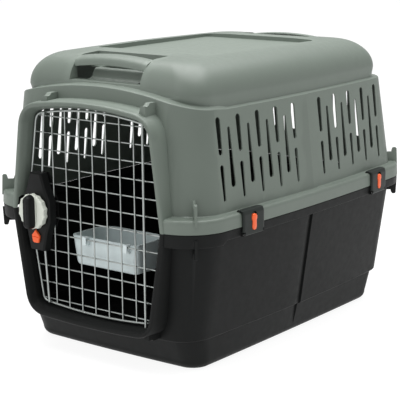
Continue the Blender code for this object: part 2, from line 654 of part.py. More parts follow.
def keyhole(extra=0.0, lift=0.0):
    """Outline of the lock button: a round head over a narrower stem. extra grows it, and lift
    carries everything from the head's centre up."""
    head_z = LOCK_HIGH - LOCK_HEAD_R
    head = arc((0.0, head_z), LOCK_HEAD_R + extra, 315, 585, 8)
    stem = arc((0.0, LOCK_LOW + LOCK_STEM), LOCK_STEM + extra, 180, 360, 4)
    return [(y, z + lift if z > head_z + 0.0002 else z) for y, z in head + stem]


def build_latch(side, end, tag):
    place = latch_frame(side, end)
    pivot = bpy.data.objects.new("pivot_latch_" + tag, None)
    carrier.objects.link(pivot)
    pivot.matrix_world = place
    face = 0.0009 - LATCH_PIVOT_OUT
    thick = 0.0036
    top = FLANGE_TOP + 0.0008 - LATCH_PIVOT_Z
    low = -LATCH_KNUCKLE
    section = [(face, 0.0008), (face, -0.0012), (face + 0.0007, low), (face + 0.0027, low),
               (face + thick, -0.0010), (face + thick, top - 0.0040), (face + thick - 0.0010, top - 0.0005),
               (face + 0.0008, top + 0.0020), (face - 0.0030, top + 0.0026), (face - 0.0105, top + 0.0024),
               (face - 0.0112, top + 0.0010), (face - 0.0105, top + 0.0003), (face - 0.0030, top),
               (face - 0.0008, top - 0.0008), (face, top - 0.0030)]
    bm = bmesh.new()
    wide = LATCH_HALF - GAP
    prism(bm, [(x, -wide, z) for x, z in section], (0, 2 * wide, 0))
    latch = add_object("latch_" + tag, bm, LATCH_DARK)
    latch.parent = pivot
    bm = bmesh.new()
    for inner, outer in ((-LATCH_HALF, -LATCH_HALF + 0.0050), (LATCH_HALF - 0.0040, LATCH_HALF + 0.001)):
        box(bm, (-0.010, inner - 0.001, -0.010), (0.0028, outer, 0.0036))
    gaps = add_object("latch_lug_gaps_" + tag, bm)
    gaps.parent = pivot
    boolean(latch, gaps)
    bm = bmesh.new()
    rod(bm, (0, -0.040, 0), (0, 0.040, 0), PIN_R + GAP, 8)
    window = keyhole(0.0005, LOCK_TRAVEL + 0.0003)
    prism(bm, [(face - 0.001, y, z) for y, z in window], (thick + 0.003, 0, 0))
    cutter = add_object("latch_cuts_" + tag, bm)
    cutter.parent = pivot
    boolean(latch, cutter)
    bm = bmesh.new()
    rod(bm, (0, -LATCH_HALF + 0.0013, 0), (0, LATCH_HALF - 0.0013, 0), PIN_R, 8)
    pin = add_object("latch_pin_" + tag, bm, STEEL)
    pin.parent = pivot
    bm = bmesh.new()
    prism(bm, [(face + 0.0004, y, z) for y, z in keyhole()], (thick + 0.0006, 0, 0))
    lock = add_object("latch_lock_" + tag, bm, ORANGE)
    lock.parent = pivot


def door_ring(grow):
    """The door frame's closed centre line."""
    top = door_half(True, grow)
    bottom = door_half(False, grow)
    return top + [(x, z) for x, z in reversed(bottom)][1:-1]


def wire_span(x, upper):
    """Height of the frame's centre line above a place across the door."""
    outline = door_half(upper, 0.0)
    for (x0, z0), (x1, z1) in zip(outline, outline[1:]):
        if min(x0, x1) <= x <= max(x0, x1) and abs(x0 - x1) > 1e-6:
            return z0 + (z1 - z0) * (x - x0) / (x1 - x0)
    return PARTING_Z


def wire_reach(z):
    """Half width of the frame's centre line at a height."""
    outline = door_half(z > PARTING_Z, 0.0)[:DOOR_CORNER_STEPS + 2]
    for (x0, z0), (x1, z1) in zip(outline, outline[1:]):
        if min(z0, z1) <= z <= max(z0, z1):
            return x0 + (x1 - x0) * (z - z0) / (z1 - z0)
    return outline[-1][0]


def build_door_grid():
    """The welded door: a bent outer wire, seven uprights and twelve cross wires."""
    centre = door_ring(0.0)
    count = len(centre)
    bm = bmesh.new()
    rings = []
    for i, (x, z) in enumerate(centre):
        before, after = Vector(centre[i - 1]), Vector(centre[(i + 1) % count])
        along = (after - before).normalized()
        outward = Vector((along.y, 0, -along.x))
        ring = []
        for k in range(6):
            angle = math.radians(60 * k + 30)
            shift = outward * (FRAME_R * math.cos(angle))
            ring.append(Vector((x, DOOR_Y + FRAME_R * math.sin(angle), z)) + shift)
        rings.append([bm.verts.new(point) for point in ring])
    for i, ring in enumerate(rings):
        after = rings[(i + 1) % count]
        for k in range(6):
            bm.faces.new((ring[k], ring[(k + 1) % 6], after[(k + 1) % 6], after[k]))
    grid = add_object("door_grid", bm, ZINC)
    bm = bmesh.new()
    for column in range(-3, 4):
        x = column * CELL_W
        rod(bm, (x, DOOR_Y - 0.0011, wire_span(x, False)), (x, DOOR_Y - 0.0011, wire_span(x, True)),
            WIRE_R, 6)
    boolean(grid, add_object("door_uprights", bm), "UNION")
    bm = bmesh.new()
    for row in range(-5, 7):
        z = GRID_Z + row * CELL_H
        reach = wire_reach(z)
        rod(bm, (-reach, DOOR_Y + 0.0011, z), (reach, DOOR_Y + 0.0011, z), WIRE_R, 6)
    boolean(grid, add_object("door_cross_wires", bm), "UNION")
    return grid


def along_rod(upper, distance, y=ROD_Y):
    """A point on a locking rod's line, a distance from the knob's axis."""
    side = 1 if upper else -1
    reach = distance * math.cos(ROD_LEAN)
    return Vector((KNOB_X + distance * math.sin(ROD_LEAN), y, KNOB_Z + side * reach))


def build_locking_rod(upper):
    """A straight rod whose inner end turns forward into the cam's slot."""
    tip = (ROD_TIP_TOP - KNOB_Z) if upper else (KNOB_Z - ROD_TIP_BOTTOM)
    tip /= math.cos(ROD_LEAN)
    bm = bmesh.new()
    rod(bm, along_rod(upper, FOLLOWER_R - 0.002), along_rod(upper, tip), ROD_R, 8)
    name = "upper_locking_rod" if upper else "lower_locking_rod"
    made = add_object(name, bm, ZINC)
    bm = bmesh.new()
    rod(bm, along_rod(upper, FOLLOWER_R, -0.3205), along_rod(upper, FOLLOWER_R, ROD_Y), 0.0017, 8)
    boolean(made, add_object(name + "_follower", bm), "UNION")
    return made


def spiral_slot(bm, upper):
    """A slot in the cam that draws a rod's follower in by ROD_TRAVEL over a quarter turn."""
    half = 0.0022
    rest = math.degrees(ROD_LEAN) if upper else 180 - math.degrees(ROD_LEAN)

    def place(share):
        angle = math.radians(rest - 90 * share)
        return Vector((math.sin(angle), 0, math.cos(angle))) * (FOLLOWER_R - ROD_TRAVEL * share)

    outer, inner = [], []
    for i in range(10):
        share = -0.06 + 1.16 * i / 9
        along = (place(share + 0.01) - place(share - 0.01)).normalized()
        across = Vector((along.z, 0, -along.x)) * half
        outer.append(place(share) + across)
        inner.append(place(share) - across)
    centre = Vector((KNOB_X, -0.3240, KNOB_Z))
    prism(bm, [centre + point for point in outer + list(reversed(inner))], (0, 0.0075, 0))


def build_knob():
    axis = Vector((KNOB_X, 0, KNOB_Z))
    bm = bmesh.new()
    rod(bm, axis + Vector((0, -0.3225, 0)), axis + Vector((0, -0.3180, 0)), FOLLOWER_R + 0.0050, 32)
    cam = add_object("lock_cam", bm, BLACK)
    bm = bmesh.new()
    spiral_slot(bm, True)
    spiral_slot(bm, False)
    boolean(cam, add_object("cam_slots", bm))
    bm = bmesh.new()
    outline = []
    for i in range(KNOB_WAVES * 4):
        angle = 2 * math.pi * i / (KNOB_WAVES * 4)
        radius = KNOB_R - 0.0009 + 0.0009 * math.cos(KNOB_WAVES * angle)
        outline.append((radius * math.sin(angle), radius * math.cos(angle)))
    rings = []
    for y, share in KNOB_STATIONS:
        rings.append([axis + Vector((x * share, y, z * share)) for x, z in outline])
    loft(bm, rings)
    knob = add_object("lock_knob", bm, SILVER)
    bm = bmesh.new()
    rod(bm, axis + Vector((0, -0.3300, 0)), axis + Vector((0, -0.3228, 0)), 0.0050, 16)
    boolean(knob, add_object("knob_shaft", bm), "UNION")
    bm = bmesh.new()
    rings = []
    for y, half, high in GRIP_STATIONS:
        ring = arc((0, high - half), half, 0, 180, 4) + arc((0, half - high), half, 180, 360, 4)
        rings.append([axis + Vector((x, y, z)) for x, z in ring])
    loft(bm, rings)
    add_object("knob_grip", bm, BLACK)


def housing_ring(y, inset=0.0):
    right = [(x - inset, z - math.copysign(inset * 0.7, z)) for x, z in HOUSING_OUTLINE]
    left = [(-x, z) for x, z in reversed(right)]
    return [(KNOB_X + x, y, KNOB_Z + z) for x, z in right + left]


def build_lock_housing():
    bm = bmesh.new()
    loft(bm, [housing_ring(HOUSING_BACK), housing_ring(HOUSING_FRONT + 0.003, 0.0008),
              housing_ring(HOUSING_FRONT, 0.0030)])
    housing = add_object("lock_housing", bm, BLACK)
    bm = bmesh.new()
    loft(bm, [housing_ring(HOUSING_BACK + 0.002, 0.0020), housing_ring(HOUSING_FRONT + 0.0025, 0.0020)])
    boolean(housing, add_object("housing_cavity", bm))
    bm = bmesh.new()
    rod(bm, (KNOB_X, HOUSING_FRONT - 0.003, KNOB_Z), (KNOB_X, HOUSING_FRONT + 0.006, KNOB_Z), 0.0054, 16)
    for upper in (True, False):
        rod(bm, along_rod(upper, 0.050), along_rod(upper, 0.080), ROD_R + 0.0005, 8)
    box(bm, (CATCH_X - 0.0025, HOUSING_FRONT - 0.002, CATCH_Z - 0.0050 - CATCH_TRAVEL),
        (CATCH_X + 0.0025, HOUSING_FRONT + 0.005, CATCH_Z + 0.0060))
    boolean(housing, add_object("housing_holes", bm))
    bm = bmesh.new()
    loft(bm, [housing_ring(DOOR_Y + 0.0030, 0.001), housing_ring(DOOR_Y + 0.0075, 0.003)])
    plate = add_object("lock_back_plate", bm, BLACK)
    bm = bmesh.new()
    for x, z in SCREW_SPOTS:
        turned_y(bm, (KNOB_X + x, DOOR_Y, KNOB_Z + z), SCREW_HOLE)
    boolean(plate, add_object("screw_holes", bm))
    for i, (x, z) in enumerate(SCREW_SPOTS):
        bm = bmesh.new()
        turned_y(bm, (KNOB_X + x, DOOR_Y, KNOB_Z + z), SCREW_SHAPE)
        add_object("lock_screw_%d" % (i + 1), bm, STEEL)


def build_safety_catch():
    """A small orange slide under the knob, with a tongue through the housing."""
    bm = bmesh.new()
    outline = list(CATCH_OUTLINE) + [(-x, z) for x, z in reversed(CATCH_OUTLINE[1:])]
    back, front = HOUSING_FRONT - GAP, HOUSING_FRONT - 0.0040
    rings = []
    for y, share in ((back, 1.0), (front + 0.001, 1.0), (front, 0.88)):
        rings.append([(CATCH_X + x * share, y, CATCH_Z + z * share) for x, z in outline])
    loft(bm, rings)
    catch = add_object("safety_catch", bm, ORANGE)
    bm = bmesh.new()
    box(bm, (CATCH_X - 0.0020, HOUSING_FRONT - 0.001, CATCH_Z - 0.0040),
        (CATCH_X + 0.0020, HOUSING_FRONT + 0.0035, CATCH_Z + 0.0050))
    boolean(catch, add_object("catch_tongue", bm), "UNION")


def bowl_ring(share, z, corner):
    """A D-shaped plan ring of the bowl: straight at the door, round at the back."""
    near = BOWL_FRONT + (1 - share) * 0.006
    far = BOWL_FRONT + BOWL_DEEP * (0.9 + 0.1 * share)
    half = BOWL_HALF * (0.84 + 0.16 * share)
    front = arc((half - corner, near + corner), corner, 0, -90, 3)
    back = arc((half - 0.030, far - 0.030), 0.030, 90, 0, 5)
    right = back + front
    left = [(-x, y) for x, y in reversed(right)]
    return [(BOWL_X + x, y, z) for x, y in right + left]


def build_bowl():
    bottom = BOWL_RIM_Z - BOWL_HIGH
    bm = bmesh.new()
    loft(bm, [bowl_ring(0.10, bottom, 0.008), bowl_ring(0.30, bottom + 0.003, 0.010),
              bowl_ring(0.42, bottom + 0.010, 0.010), bowl_ring(0.95, BOWL_RIM_Z - 0.003, 0.010),
              bowl_ring(1.0, BOWL_RIM_Z, 0.010)])
    bowl = add_object("water_bowl", bm, BOWL_GREY)
    hooks = bmesh.new()
    wire_y, wire_z = DOOR_Y + 0.0011, GRID_Z - CELL_H
    back, front = wire_y + WIRE_R + 0.0003, wire_y - WIRE_R - 0.0003
    top = wire_z + WIRE_R + 0.0003
    for x in HOOK_X:
        outline = [(back + 0.006, top - 0.012), (back + 0.006, top + 0.003), (front - 0.002, top + 0.003),
                   (front - 0.002, top - 0.010), (front, top - 0.010), (front, top), (back, top),
                   (back, top - 0.012)]
        prism(hooks, [(x - 0.004, y, z) for y, z in outline], (0.008, 0, 0))
    boolean(bowl, add_object("bowl_hooks", hooks), "UNION")
    bm = bmesh.new()
    inner = [(0.12, bottom + BOWL_WALL), (0.42, bottom + 0.010), (0.95, BOWL_RIM_Z - 0.003),
             (1.0, BOWL_RIM_Z + 0.0005)]
    rings = []
    for share, z in inner:
        ring = bowl_ring(share, z, 0.009)
        centre = Vector((BOWL_X, BOWL_FRONT + BOWL_DEEP / 2, z))
        shrink = 1 - BOWL_WALL / BOWL_DEEP * 2.2
        rings.append([centre + (Vector(p) - centre) * shrink for p in ring])
    loft(bm, rings)
    boolean(bowl, add_object("bowl_inside", bm))
    return bowl


build_upper_shell()
build_lower_tub()
build_door_grid()
bm = bmesh.new()
rod(bm, (HINGE_X, ROD_Y, HINGE_BOTTOM), (HINGE_X, ROD_Y, HINGE_TOP), ROD_R, ROUND)
add_object("hinge_rod", bm, ZINC)
build_locking_rod(True)
build_locking_rod(False)
build_lock_housing()
build_knob()
build_safety_catch()
build_bowl()
for side, side_name in ((1, "right"), (-1, "left")):
    for end, end_name in ((-1, "front"), (1, "rear")):
        build_latch(side, end, end_name + "_" + side_name)
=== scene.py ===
"""The looks of a hard-shell pet carrier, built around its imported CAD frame. Metres, +Z up, door
facing -Y. Every piece is rebuilt here with finer rounding and gets a procedural material."""

import json
import math

import bmesh
import bpy
from mathutils import Matrix, Vector


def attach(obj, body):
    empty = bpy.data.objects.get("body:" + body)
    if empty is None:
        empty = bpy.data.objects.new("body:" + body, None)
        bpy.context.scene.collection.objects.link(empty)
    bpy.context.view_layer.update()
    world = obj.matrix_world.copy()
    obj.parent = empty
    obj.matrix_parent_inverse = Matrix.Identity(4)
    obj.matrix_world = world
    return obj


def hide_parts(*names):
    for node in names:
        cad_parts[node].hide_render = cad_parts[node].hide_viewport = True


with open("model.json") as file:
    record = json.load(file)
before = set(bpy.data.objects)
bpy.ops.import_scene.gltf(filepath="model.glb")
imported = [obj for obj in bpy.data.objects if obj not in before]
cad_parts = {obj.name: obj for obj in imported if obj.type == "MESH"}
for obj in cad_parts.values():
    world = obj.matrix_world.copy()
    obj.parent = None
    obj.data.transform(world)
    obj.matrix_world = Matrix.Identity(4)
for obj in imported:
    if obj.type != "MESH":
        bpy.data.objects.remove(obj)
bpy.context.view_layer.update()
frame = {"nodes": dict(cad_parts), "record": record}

# Overall shell
WALL = 0.0025  # wall thickness of both shells
SLOT_WALL = 0.0017  # thinner wall that shows at the slots
GAP = 0.0003  # running gap between neighbouring pieces
PARTING_Z = 0.24  # height of the joint between the shells
FLANGE_W = 0.24  # half width of the flange at mid-length
FLANGE_L = 0.33  # half length of the flange
FLANGE_TOP = 0.263  # top of the green flange
BAND_BOTTOM = 0.2235  # underside of the dark rim band
BOW = 0.008  # how far the long sides bow out
CORNER_R = 0.075  # plan corner radius of the flange
WALL_FOOT_W = 0.223  # half width of the upper wall at the flange
WALL_FOOT_L = (0.308, 0.316)  # distances of the front and rear from the middle
SHOULDER_Z = 0.4245  # height of the ledge under the dome
SHOULDER_W = 0.2055  # half width of the ledge
SHOULDER_L = (0.2955, 0.301)
FRONT_ARCH = 0.03  # how far the shoulder's front edge rises over the door
FRONT_ARCH_W = 0.205  # half width of that arch
FRONT_ZONE = -0.22  # the front wall's shapes fade out behind this place
DOME_W = 0.1985  # half width of the dome at its foot
DOME_ENDS = (0.2785, 0.2825)  # distance of the dome's front and rear faces from the middle
DOME_CORNER = 0.045  # plan corner radius of the dome
DOME_FOOT = 0.4435  # height where the dome starts to round over
ROOF_EDGE = 0.497  # height where the rounding ends
ROOF_Z = 0.4995  # height of the crowned roof
REAR_DROP = 0.003  # how much lower the roof is at its rear
ROOF_ROUND_X = 0.058  # width of the dome's rounding along its sides
ROOF_ROUND_Y = 0.045  # and along its front and rear
STEP_Z = 0.0555  # height of the step near the foot of the tub
STEP_DIP = 0.007  # how far the step dips in the middle of the front
STEP_W = 0.1985  # half width of the tub at the step
STEP_L = (0.293, 0.301)
BASE_W = 0.183  # half width of the foot
BASE_L = (0.274, 0.279)
BASE_BOW = 0.002  # how far the foot's long sides bow out
BASE_CORNER = 0.036  # plan corner radius of the foot
BASE_ROUND = 0.015  # radius of the edge round the bottom
FRONT_BOW = 0.004  # how far the foot's front and rear bow out
CORNER_DIP = 0.0065  # how much deeper the rim band is at the front corners
CORNER_DIP_Y = -0.262  # and where that ends along the sides
FLOOR_T = 0.0035

TRAY_W, TRAY_L, TRAY_DEPTH = 0.122, 0.16, 0.009  # half sizes and depth of the roof tray

# Door, its welded wires and the collar around it
DOOR_Y = -0.308  # plane of the wire mesh
CELL_W, CELL_H = 0.0293, 0.0285
GRID_Z = 0.228  # height of the middle horizontal wire
WIRE_R, FRAME_R, ROD_R = 0.0012, 0.0021, 0.0021
WIRE_OFFSET = 0.0011  # of the uprights in front of that plane and the cross wires behind it
DOOR_W = 0.147  # half width of the door frame at the parting line
# Top and bottom of the door frame: half width, height, further rise of the arch, corner radius.
DOOR_TOP, DOOR_BOTTOM = (0.1235, 0.402, 0.012, 0.019), (0.1185, 0.0812, 0.0072, 0.012)
COLLAR_Y = -0.332  # front of the collar's lip
COLLAR_BACK = -0.262  # where the collar ends inside the shell
# The collar as (place along Y, distance from the door frame's centre line), outside then inside.
COLLAR_OUTSIDE = ((COLLAR_Y, 0.0135), (-0.33185, 0.0147), (-0.3313, 0.0158), (-0.3302, 0.0167),
                  (-0.328, 0.0173), (-0.3245, 0.0176), (-0.315, 0.018), (COLLAR_BACK, 0.0205))
COLLAR_INSIDE = ((-0.36, 0.0126), (-0.33205, 0.0126), (-0.3318, 0.0114), (-0.3311, 0.0103),
                 (-0.3296, 0.0093), (-0.327, 0.008), (-0.32, 0.0056), (-0.317, 0.0049),
                 (-0.24, 0.0048))
DOORWAY_PAST = 0.003  # how far each half of the doorway is cut past the parting line
ROD_Y = -0.313  # plane of the hinge rod and the locking rods
HINGE_X = 0.11
HINGE_TOP, HINGE_BOTTOM = 0.431, 0.059
ROD_TIP_TOP, ROD_TIP_BOTTOM = 0.406, 0.08
EAR_FRONT, EAR_TOP, EAR_FOOT = -0.322, 0.4352, 0.057
# Each ear across the door: outer end of its gusset, then both sides of its block.
EARS = ((0.1068, 0.115, 0.1238), (-0.1047, -0.0947, -0.0846))

# Door lock
KNOB_X, KNOB_Z = -0.1135, 0.2405
KNOB_R = 0.0305
ROD_LEAN = math.radians(4.0)
KNOB_WAVES, KNOB_WAVE = 14, 0.0019  # number and depth of the scallops round the knob
# Places along Y with the knob's share of its full width there.
KNOB_STATIONS = ((-0.3288, 0.955), (-0.3293, 0.975), (-0.3305, 0.995), (-0.332, 1.0),
                 (-0.3362, 1.0), (-0.3374, 0.99), (-0.3382, 0.97), (-0.3386, 0.94), (-0.3388, 0.8))
# Places along Y with the grip's half width and half height there.
GRIP_STATIONS = ((-0.3388, 0.01, 0.029), (-0.34, 0.0097, 0.029), (-0.344, 0.0088, 0.0286),
                 (-0.348, 0.0079, 0.0276), (-0.3502, 0.0073, 0.0266), (-0.3514, 0.0064, 0.0254),
                 (-0.352, 0.0048, 0.0238))
HOUSING_FRONT, HOUSING_BACK = -0.3275, -0.3113
# Right half of the housing's outline about the knob's axis.
HOUSING_OUTLINE = ((0.013, 0.064), (0.022, 0.038), (0.0315, 0.018), (0.0315, -0.018),
                   (0.023, -0.038), (0.016, -0.069))
# Each pair is a distance behind the door's plane and a radius there.
SCREW_HOLE = ((0.001, 0.0018), (0.0058, 0.0018), (0.0059, 0.0036), (0.011, 0.0036))
SCREW_SHAPE = ((0.0012, 0.0014), (0.0061, 0.0014), (0.0062, 0.0032), (0.008, 0.0032),
               (0.0086, 0.0024))
SCREW_SPOTS = ((0.0, 0.054), (0.0, -0.057), (-0.0235, 0.0), (0.0235, 0.0))
FOLLOWER_R = 0.024  # distance of each rod's follower pin from the knob's axis
CATCH_PLACE = Vector((-0.1125, HOUSING_FRONT, 0.1985))
CATCH_TRAVEL = 0.005
# Right half of the catch's outline about its middle.
CATCH_OUTLINE = ((0.0, 0.01), (0.0035, 0.006), (0.0085, 0.0005), (0.0085, -0.002),
                 (0.0065, -0.011), (0.004, -0.0125))

# Carrying handles in the dome's front and rear edges
HANDLE_W = 0.0755
HANDLE_ARCH = 0.0055  # how far the grip arches up between its ends
DOME_EDGE_Y = 0.29  # past this the pockets are open to the front or rear
# Sections along the carrier as (distance from the middle, height).
SCOOP = ((0.32, 0.4574), (0.256, 0.4578), (0.249, 0.4592), (0.244, 0.4625), (0.2405, 0.469),
         (0.237, 0.4735), (0.23, 0.475), (0.205, 0.4752), (0.2, 0.53), (0.32, 0.53))
GRIP = ((0.2632, 0.4785), (0.2612, 0.4868), (0.256, 0.4913), (0.247, 0.4943), (0.238, 0.4945),
        (0.2368, 0.4915), (0.244, 0.4898), (0.252, 0.4868), (0.2565, 0.4832), (0.259, 0.4785))
# The windows beside the scoop's curved back, which reach through its side walls.
WINDOW_IN, WINDOW_OUT, WINDOW_TOP = 0.0545, 0.0795, 0.4795
WINDOW_Y = (0.22, 0.257)  # distances of the windows' ends from the middle
POCKET_SLOT_W = 0.05  # half width of the slot in the pocket's floor behind the grip
POCKET_SLOT_Y = (0.206, 0.228)
SLIT_Y = (0.26, 0.2625)  # a narrow slit along the pocket's floor, in front of the grip

# Ventilation slots
SLOT_PITCH = 0.0245
SLOT_FIRST = 0.041  # distance of the first column on a side from its middle
SIDE_COLUMNS = 9  # columns in each half of a side
REAR_COLUMNS = 5  # columns either side of the middle one in the rear wall
# Each slot's bottom and top, and how wide it is at each.
SLOT_LEVELS = {"upper": (0.354, 0.414, 0.009, 0.0112), "lower": (0.281, 0.339, 0.006, 0.009),
               "long": (0.3005, 0.3965, 0.0112, 0.0062)}

# Side latches
LATCH_Y = 0.195
LATCH_HALF = 0.027
LATCH_PIVOT_Z = 0.2275
LATCH_PIVOT_OUT = 0.0027  # pivot in front of the flange's face
LATCH_THICK = 0.0036
# The latch's section about its pivot's height and about the flange's top, outwards from its back.
LATCH_LOW = ((0.0, 0.0008), (0.0, -0.0012), (0.0007, -0.0022), (0.0027, -0.0022), (0.0036, -0.001))
LATCH_HIGH = ((0.0036, -0.0052), (0.0031, -0.0028), (0.0021, -0.0004), (0.0004, 0.0018),
              (-0.003, 0.0026), (-0.0105, 0.0024), (-0.0112, 0.001), (-0.0105, 0.0003),
              (-0.003, 0.0), (-0.0008, -0.0008), (0.0, -0.003))
PIN_R = 0.001
LOCK_LOW, LOCK_HIGH = 0.004, 0.031  # bottom and top of the lock button, above the pivot
LOCK_HEAD_R, LOCK_STEM = 0.0068, 0.0054
LOCK_TRAVEL = 0.003

# Water bowl
BOWL_X, BOWL_HALF, BOWL_DEEP, BOWL_HIGH = 0.012, 0.0715, 0.085, 0.05
BOWL_RIM_Z, BOWL_WALL = 0.2025, 0.002
BOWL_FRONT = DOOR_Y + 0.0075
BOWL_BACK_R = 0.03  # plan radius of its back corners
# Share of the bowl's full size, height above its bottom or below its rim, and front corner radius.
BOWL_LOW = ((0.1, 0.0, 0.008), (0.28, 0.0012, 0.01), (0.45, 0.004, 0.011), (0.55, 0.01, 0.011))
BOWL_TOP = ((0.93, 0.004, 0.009), (0.985, 0.0034, 0.008), (1.0, 0.0026, 0.008),
            (1.0, 0.0006, 0.008), (0.99, 0.0, 0.008))
HOOK_X = (-0.0225, 0.066)

# A strap hook, as distances from the flange's corner and past the hook's saddle.
FIN_OUTLINE = ((0.0, 0.006), (-0.002, 0.008), (-0.006, 0.008), (-0.008, 0.006), (-0.0095, 0.0),
               (-0.019, 0.0), (-0.023, 0.01), (-0.03, 0.01))

# Seam pleats across the middle of each side: where they are and how deep
WALL_SEAM_Y, TUB_SEAM_Y = 0.012, 0.002
WALL_SEAM_DEEP, TUB_SEAM_DEEP = 0.0013, 0.0036
# Places along each side where the walls are bent, shared by all rings.
SEAMS = (-0.018, -0.009, -0.004, 0.0017, 0.0023, 0.0104, 0.0106, 0.0121, 0.0123)

# How finely the curved parts are divided
CORNER_STEPS, SIDE_STEPS, END_STEPS, DOME_STEPS, WALL_STEPS, BASE_STEPS = 12, 9, 20, 14, 6, 7
DOOR_CORNER_STEPS, DOOR_ARCH_STEPS, GRIP_STEPS = 10, 8, 24
ROUND, FINE_ROUND, SMALL_ROUND = 20, 24, 12  # sides of a round piece

CORNERS = [(side, end) for side in (-1, 1) for end in (-1, 1)]  # right is side 1, rear is end 1

# Studio, with the camera solved from the photo: turn to the right, tilt down and roll in degrees
CAMERA_PLACE = (1.4414, -1.8898, 0.7381)
CAMERA_ANGLES = (37.7157, 12.4268, -0.4798)
CAMERA_LENS, SENSOR = 120.99, 36.0
LIGHT_TARGET = (0, 0, 0.3)
AIR_STRENGTH, FLOOR_GLOW = 0.56, 0.9

BODIES = frame["record"]["behaviour"]["bodies"]
BODY_OF = {node: body for body, nodes in BODIES.items() for node in nodes}


def new_material(name):
    """A material with its node tree and its shader."""
    made = bpy.data.materials.new(name)
    made.use_nodes = True
    return made, made.node_tree, made.node_tree.nodes["Principled BSDF"]


def add_node(tree, kind, values):
    """Adds a shader node with the given values on its inputs."""
    made = tree.nodes.new("ShaderNode" + kind)
    for socket, value in values.items():
        made.inputs[socket].default_value = value
    return made


def noise(tree, scale, detail):
    """The value of a noise texture that stays with its piece."""
    texture = add_node(tree, "TexNoise", {"Scale": scale, "Detail": detail})
    place = tree.nodes.new("ShaderNodeTexCoord").outputs["Object"]
    tree.links.new(place, texture.inputs["Vector"])
    return texture.outputs["Fac"]


def spread(tree, source, to_min, to_max, from_min=0.3, from_max=0.7):
    """Maps a value from one range to another."""
    mapped = add_node(tree, "MapRange", {"From Min": from_min, "From Max": from_max,
                                         "To Min": to_min, "To Max": to_max})
    tree.links.new(source, mapped.inputs["Value"])
    return mapped.outputs["Result"]


def roughen(tree, shader, height, strength, distance):
    """Drives the shader's normal with a bump."""
    bump = add_node(tree, "Bump", {"Strength": strength, "Distance": distance})
    tree.links.new(height, bump.inputs["Height"])
    tree.links.new(bump.outputs["Normal"], shader.inputs["Normal"])


def plastic(name, colour, roughness, grain=0.1, sheen=0.4, edge_highlight=0.12):
    """Moulded plastic: a fine grain in the bump, uneven gloss, faint mottling and painted edge
    highlights.
    """
    made, tree, shader = new_material(name)
    link = tree.links.new
    mottled = tree.nodes.new("ShaderNodeVectorMath")
    mottled.operation = "SCALE"
    mottled.inputs[0].default_value = colour
    link(spread(tree, noise(tree, 14.0, 5.0), 1 - MOTTLING, 1 + MOTTLING), mottled.inputs["Scale"])
    # Painted highlight: the colour is lightened where the surface is pointy, standing in for light
    # caught by rounded edges.
    edges = tree.nodes.new("ShaderNodeNewGeometry").outputs["Pointiness"]
    highlighted_edge = tree.nodes.new("ShaderNodeMix")
    highlighted_edge.data_type = "RGBA"
    highlighted_edge.inputs["B"].default_value = (*(min(1.0, c * 1.9 + 0.05) for c in colour), 1.0)
    link(spread(tree, edges, 0.0, edge_highlight, 0.53, 0.62), highlighted_edge.inputs["Factor"])
    link(mottled.outputs["Vector"], highlighted_edge.inputs["A"])
    link(highlighted_edge.outputs["Result"], shader.inputs["Base Color"])
    gloss = spread(tree, noise(tree, 90.0, 4.0), roughness - 0.04, roughness + 0.04)
    link(gloss, shader.inputs["Roughness"])
    roughen(tree, shader, noise(tree, 2200, 3.0), grain, 0.0003)
    shader.inputs["Specular IOR Level"].default_value = sheen
    return made


def metal(name, colour, roughness):
    """Plated wire: drawn streaks in the gloss and faint cloudy tarnish."""
    made, tree, shader = new_material(name)
    shader.inputs["Metallic"].default_value = 1.0
    ramp = tree.nodes.new("ShaderNodeValToRGB")
    for stop, place, shade in zip(ramp.color_ramp.elements, (0.3, 0.7), (0.82, 1.0)):
        stop.position = place
        stop.color = (*(c * shade for c in colour), 1.0)
    tree.links.new(noise(tree, 45.0, 5.0), ramp.inputs["Fac"])
    tree.links.new(ramp.outputs["Color"], shader.inputs["Base Color"])
    streaks = noise(tree, 900.0, 4.0)
    gloss = spread(tree, streaks, roughness - 0.1, roughness + 0.12, 0.0, 1.0)
    tree.links.new(gloss, shader.inputs["Roughness"])
    roughen(tree, shader, streaks, 0.08, 0.0002)
    return made


MOTTLING = 0.025  # how far the plastics' colour wanders either way
SAGE = plastic("sage_green_plastic", (0.122, 0.147, 0.125), 0.46, edge_highlight=0.1)
CHARCOAL = plastic("charcoal_plastic", (0.0078, 0.0085, 0.0083), 0.52, sheen=0.13, edge_highlight=0.1)
LATCH_DARK = plastic("latch_plastic", (0.014, 0.018, 0.016), 0.42, sheen=0.22, edge_highlight=0.08)
ORANGE = plastic("orange_plastic", (0.86, 0.115, 0.022), 0.36, grain=0.05, edge_highlight=0.05)
ZINC = metal("zinc_plated_wire", (0.44, 0.47, 0.455), 0.36)
STEEL = metal("steel_pin", (0.5, 0.5, 0.5), 0.34)
SILVER = plastic("silver_plastic", (0.6, 0.63, 0.56), 0.4, grain=0.05)
BLACK = plastic("black_plastic", (0.0065, 0.007, 0.007), 0.46, sheen=0.16, edge_highlight=0.08)
BOWL_GREY = plastic("bowl_plastic", (0.56, 0.635, 0.64), 0.33, grain=0.03)


def add_object(name, bm):
    """Turns a bmesh into an object of the scene."""
    bmesh.ops.recalc_face_normals(bm, faces=bm.faces)
    mesh = bpy.data.meshes.new(name)
    bm.to_mesh(mesh)
    bm.free()
    made = bpy.data.objects.new(name, mesh)
    bpy.context.scene.collection.objects.link(made)
    return made


def boolean(target, tool, operation="DIFFERENCE"):
    """Cuts or joins at once, and removes the tool."""
    modifier = target.modifiers.new("cut", "BOOLEAN")
    modifier.operation = operation
    modifier.object = tool
    bpy.context.view_layer.update()
    graph = bpy.context.evaluated_depsgraph_get()
    mesh = bpy.data.meshes.new_from_object(target.evaluated_get(graph))
    target.modifiers.clear()
    target.data = mesh
    bpy.data.objects.remove(tool)


